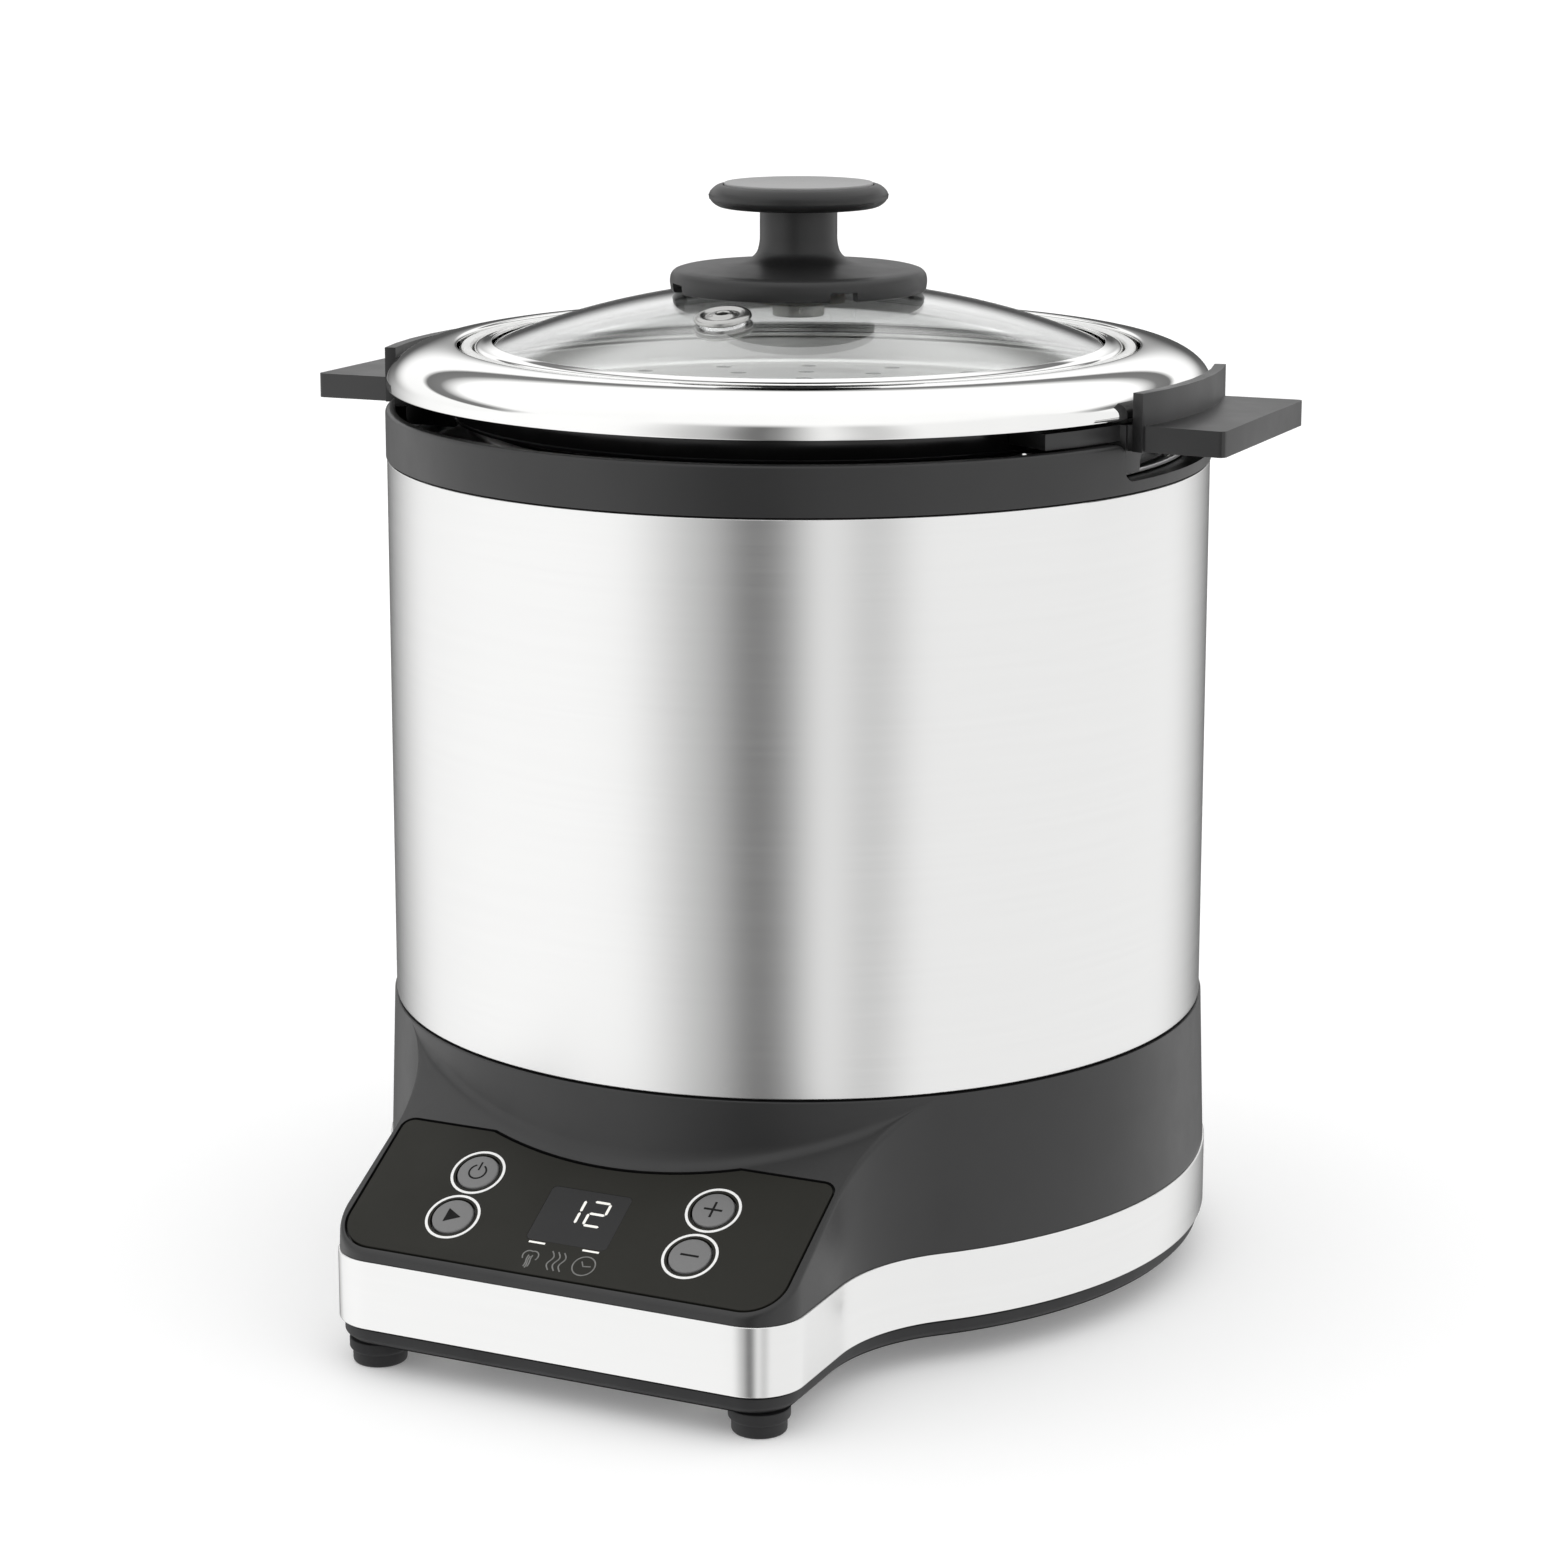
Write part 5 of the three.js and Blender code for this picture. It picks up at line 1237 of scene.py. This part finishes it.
soft = 1.9 * np.clip((2.8 - along) / 0.12, 0, 1)
knob_points[..., 2] = np.where(skirt, np.maximum(knob_points[..., 2], knob_low + soft), knob_points[..., 2])
knob_black = moulded("knob_black", (0.013, 0.013, 0.0133), (0.0165, 0.0165, 0.0168), (0.38, 0.46), 2600.0)
make_piece("knob_foot", knob_points, grid_faces(*knob_points.shape[:2]), "lid", knob_black, "black_plastic",
           "knob_base", crease=40)
grip_low, grip_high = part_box("knob_grip")[0][2] / MM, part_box("knob_grip")[1][2] / MM
GRIP, CAP = 17.4, 14.4
cap_low, cap_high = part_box("knob_cap")[0][2] / MM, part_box("knob_cap")[1][2] / MM
grip_section = rounded([
    (0.0, grip_low), (15.4, grip_low, 0.8), (17.2, grip_low + 1.2, 1.2), (GRIP, grip_low + 2.4, 0.8),
    (GRIP - 0.6, grip_high - 0.8, 0.9), (GRIP - 1.9, grip_high, 0.6), (CAP + 0.2, grip_high, 0.15),
    (CAP + 0.2, cap_low - 0.3), (0.0, cap_low - 0.3),
], 8)
spin("knob_disc", grip_section, "lid", knob_black, "black_plastic", "knob_grip", turns=160, crease=40)
cap_grey = spun_metal("cap_grey", (0.26, 0.26, 0.26), (0.30, 0.30, 0.30), (0.3, 0.38), 1500.0, 0.0)
cap_section = rounded([(0.0, cap_low), (CAP, cap_low, 0.1), (CAP, cap_high - 0.1, 0.25), (0.0, cap_high)],
                      6)
spin("knob_inlay", cap_section, "lid", cap_grey, "cap_grey", "knob_cap", turns=160, crease=40)
silicone = moulded("washer_silicone", (0.30, 0.30, 0.29), (0.36, 0.36, 0.35), (0.5, 0.62), 1500.0, 0.00001,
                   0.3,
                   Subsurface_Weight=0.1)
for name in ("knob_gasket", "lid_washer"):
    low, high = (np.array(corner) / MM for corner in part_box(name))
    section = rounded([(3.6, low[2], 0.2), (9.0, low[2], 0.35), (9.0, high[2], 0.35), (3.6, high[2], 0.2)],
                      6)
    spin("soft_" + name, section, "lid", silicone, "silicone", name, turns=96, crease=50)
low, high = (np.array(corner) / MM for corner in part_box("knob_screw"))
screw_piece("knob_fixing", (0.0, 0.0), low[2] + 2.0, low[2], 5.0, 2.5, high[2], "lid", "knob_screw")

# ---------------------------------------------------------------- floor, light and camera
# A plain white floor in a bright studio. Soft dark boards stand behind the camera and behind the cooker,
# and give the steel its dark bands. The ceiling is white, and the background is white to the camera.

AZIMUTH = math.radians(25.18)
FLOOR_HALF = 40.0
floor_mesh = bpy.data.meshes.new("floor")
floor_mesh.from_pydata([(x * FLOOR_HALF, y * FLOOR_HALF, 0) for x,
                        y in ((-1, -1), (1, -1), (1, 1), (-1, 1))], [], [(0, 1, 2, 3)])
floor = bpy.data.objects.new("floor", floor_mesh)
bpy.context.scene.collection.objects.link(floor)
floor.visible_glossy = False
floor_white, tree, shader = new_finish("floor_white", (0.88, 0.88, 0.88), 0.9, Specular_IOR_Level=0.0,
                                        Emission_Strength=0.16)
shader.inputs["Emission Color"].default_value = (1.0, 1.0, 1.0, 1.0)
tree.links.new(mottle(tree, 3.0, 0.85, 0.95), shader.inputs["Roughness"])
floor_mesh.materials.append(floor_white)
floor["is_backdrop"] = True

world = bpy.data.worlds.new("studio")
bpy.context.scene.world = world
world.use_nodes = True
tree = world.node_tree
tree.nodes.clear()
sight = add_node(tree, "TexCoord").outputs["Generated"]
turned = add_node(tree, "VectorRotate", {"rotation_type": "Z_AXIS"}, Vector=sight, Angle=-AZIMUTH)
split = add_node(tree, "SeparateXYZ", None, Vector=turned.outputs[0])
rise = split.outputs["Z"]
toward = maths(tree, "MULTIPLY", split.outputs["Y"], -1.0)
degrees = maths(tree, "DEGREES", maths(tree, "ARCTAN2", split.outputs["X"], toward))

# Boards and one light standing round the studio: the bearing of the middle from the camera's own direction,
# the half-width at full strength and the width of the soft edge, in degrees, and the change in brightness.
BOARDS = ((-8.0, 1.0, 17.0, -0.55), (-22.0, 0.0, 30.0, -0.50), (20.0, 0.0, 16.0, -0.35),
          (180.0, 8.0, 50.0, -0.98), (-80.0, 10.0, 60.0, 0.15))
around = 1.08
for middle, full, soft, change in BOARDS:
    apart = maths(tree, "WRAP", maths(tree, "SUBTRACT", degrees, middle), 180.0, -180.0)
    board = remap(tree, maths(tree, "ABSOLUTE", apart), (full, full + soft), (change, 0.0), "SMOOTHSTEP")
    around = maths(tree, "ADD", around, board)
# Up behind the cooker, by the sine of the height: a bright wall, a dark joint, then the ceiling light.
BEHIND = ((0.0, 1.1), (0.36, 1.2), (0.39, 0.2), (0.46, 0.25), (0.54, 1.25))
BRIGHTEST = 1.3
behind = add_node(tree, "ValToRGB", None, Fac=rise)
stops = behind.color_ramp.elements
for k, (height, bright) in enumerate(BEHIND):
    stop = stops[k] if k < 2 else stops.new(height)
    stop.position, stop.color = height, (*[bright / BRIGHTEST] * 3, 1.0)
behind_light = maths(tree, "MULTIPLY", behind.outputs["Color"], BRIGHTEST)
in_front = remap(tree, toward, (-0.25, 0.25), shape="SMOOTHSTEP")
# The ceiling starts low behind the cooker and high above the camera.
ceiling = [maths(tree, "ADD", maths(tree, "MULTIPLY", in_front, more), start)
           for more, start in ((0.49, 0.06), (0.56, 0.24))]
overhead = remap(tree, rise, ceiling, shape="SMOOTHSTEP")


def blend(share, first, second):
    """A value that goes from the first to the second as the share goes from 0 to 1."""
    step = add_node(tree, "Mix", {"data_type": "FLOAT"}, Factor=share)
    ends = [socket for socket in step.inputs if socket.name in ("A", "B") and socket.enabled]
    for socket, value in zip(ends, (first, second)):
        fill(tree, value, socket)
    return [socket for socket in step.outputs if socket.enabled][0]


level = blend(overhead, around, blend(in_front, behind_light, 1.2))
sky = add_node(tree, "Background", None, Color=(1, 1, 1, 1), Strength=level)
seen = add_node(tree, "Background", None, Color=(1, 1, 1, 1), Strength=1.0)
ray = add_node(tree, "LightPath")
final = add_node(tree, "MixShader")
tree.links.new(ray.outputs["Is Camera Ray"], final.inputs[0])
tree.links.new(sky.outputs[0], final.inputs[1])
tree.links.new(seen.outputs[0], final.inputs[2])
tree.links.new(final.outputs[0], tree.nodes.new("ShaderNodeOutputWorld").inputs["Surface"])

view = bpy.data.cameras.new("camera")
camera = bpy.data.objects.new("camera", view)
bpy.context.scene.collection.objects.link(camera)
bpy.context.scene.camera = camera
AWAY, ASIDE, HEIGHT, PITCH = 0.7536, 0.00504, 0.27272, math.radians(11.10)
camera.location = (
    AWAY * math.sin(AZIMUTH) - ASIDE * math.cos(AZIMUTH),
    axis_y * MM - AWAY * math.cos(AZIMUTH) - ASIDE * math.sin(AZIMUTH),
    HEIGHT,
)
camera.rotation_euler = (math.pi / 2 - PITCH, 0.0, AZIMUTH)
view.sensor_width = 36.0
view.lens = 90.804
view.shift_y = -0.10  # the lens is shifted, so uprights stay upright
view.clip_end = 100.0
bpy.context.scene.view_settings.view_transform = "Standard"

finished_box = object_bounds()
as_lists = lambda box: [list(map(float, corner)) for corner in box]
{"cad": as_lists(cad_box), "visual": as_lists(finished_box)}
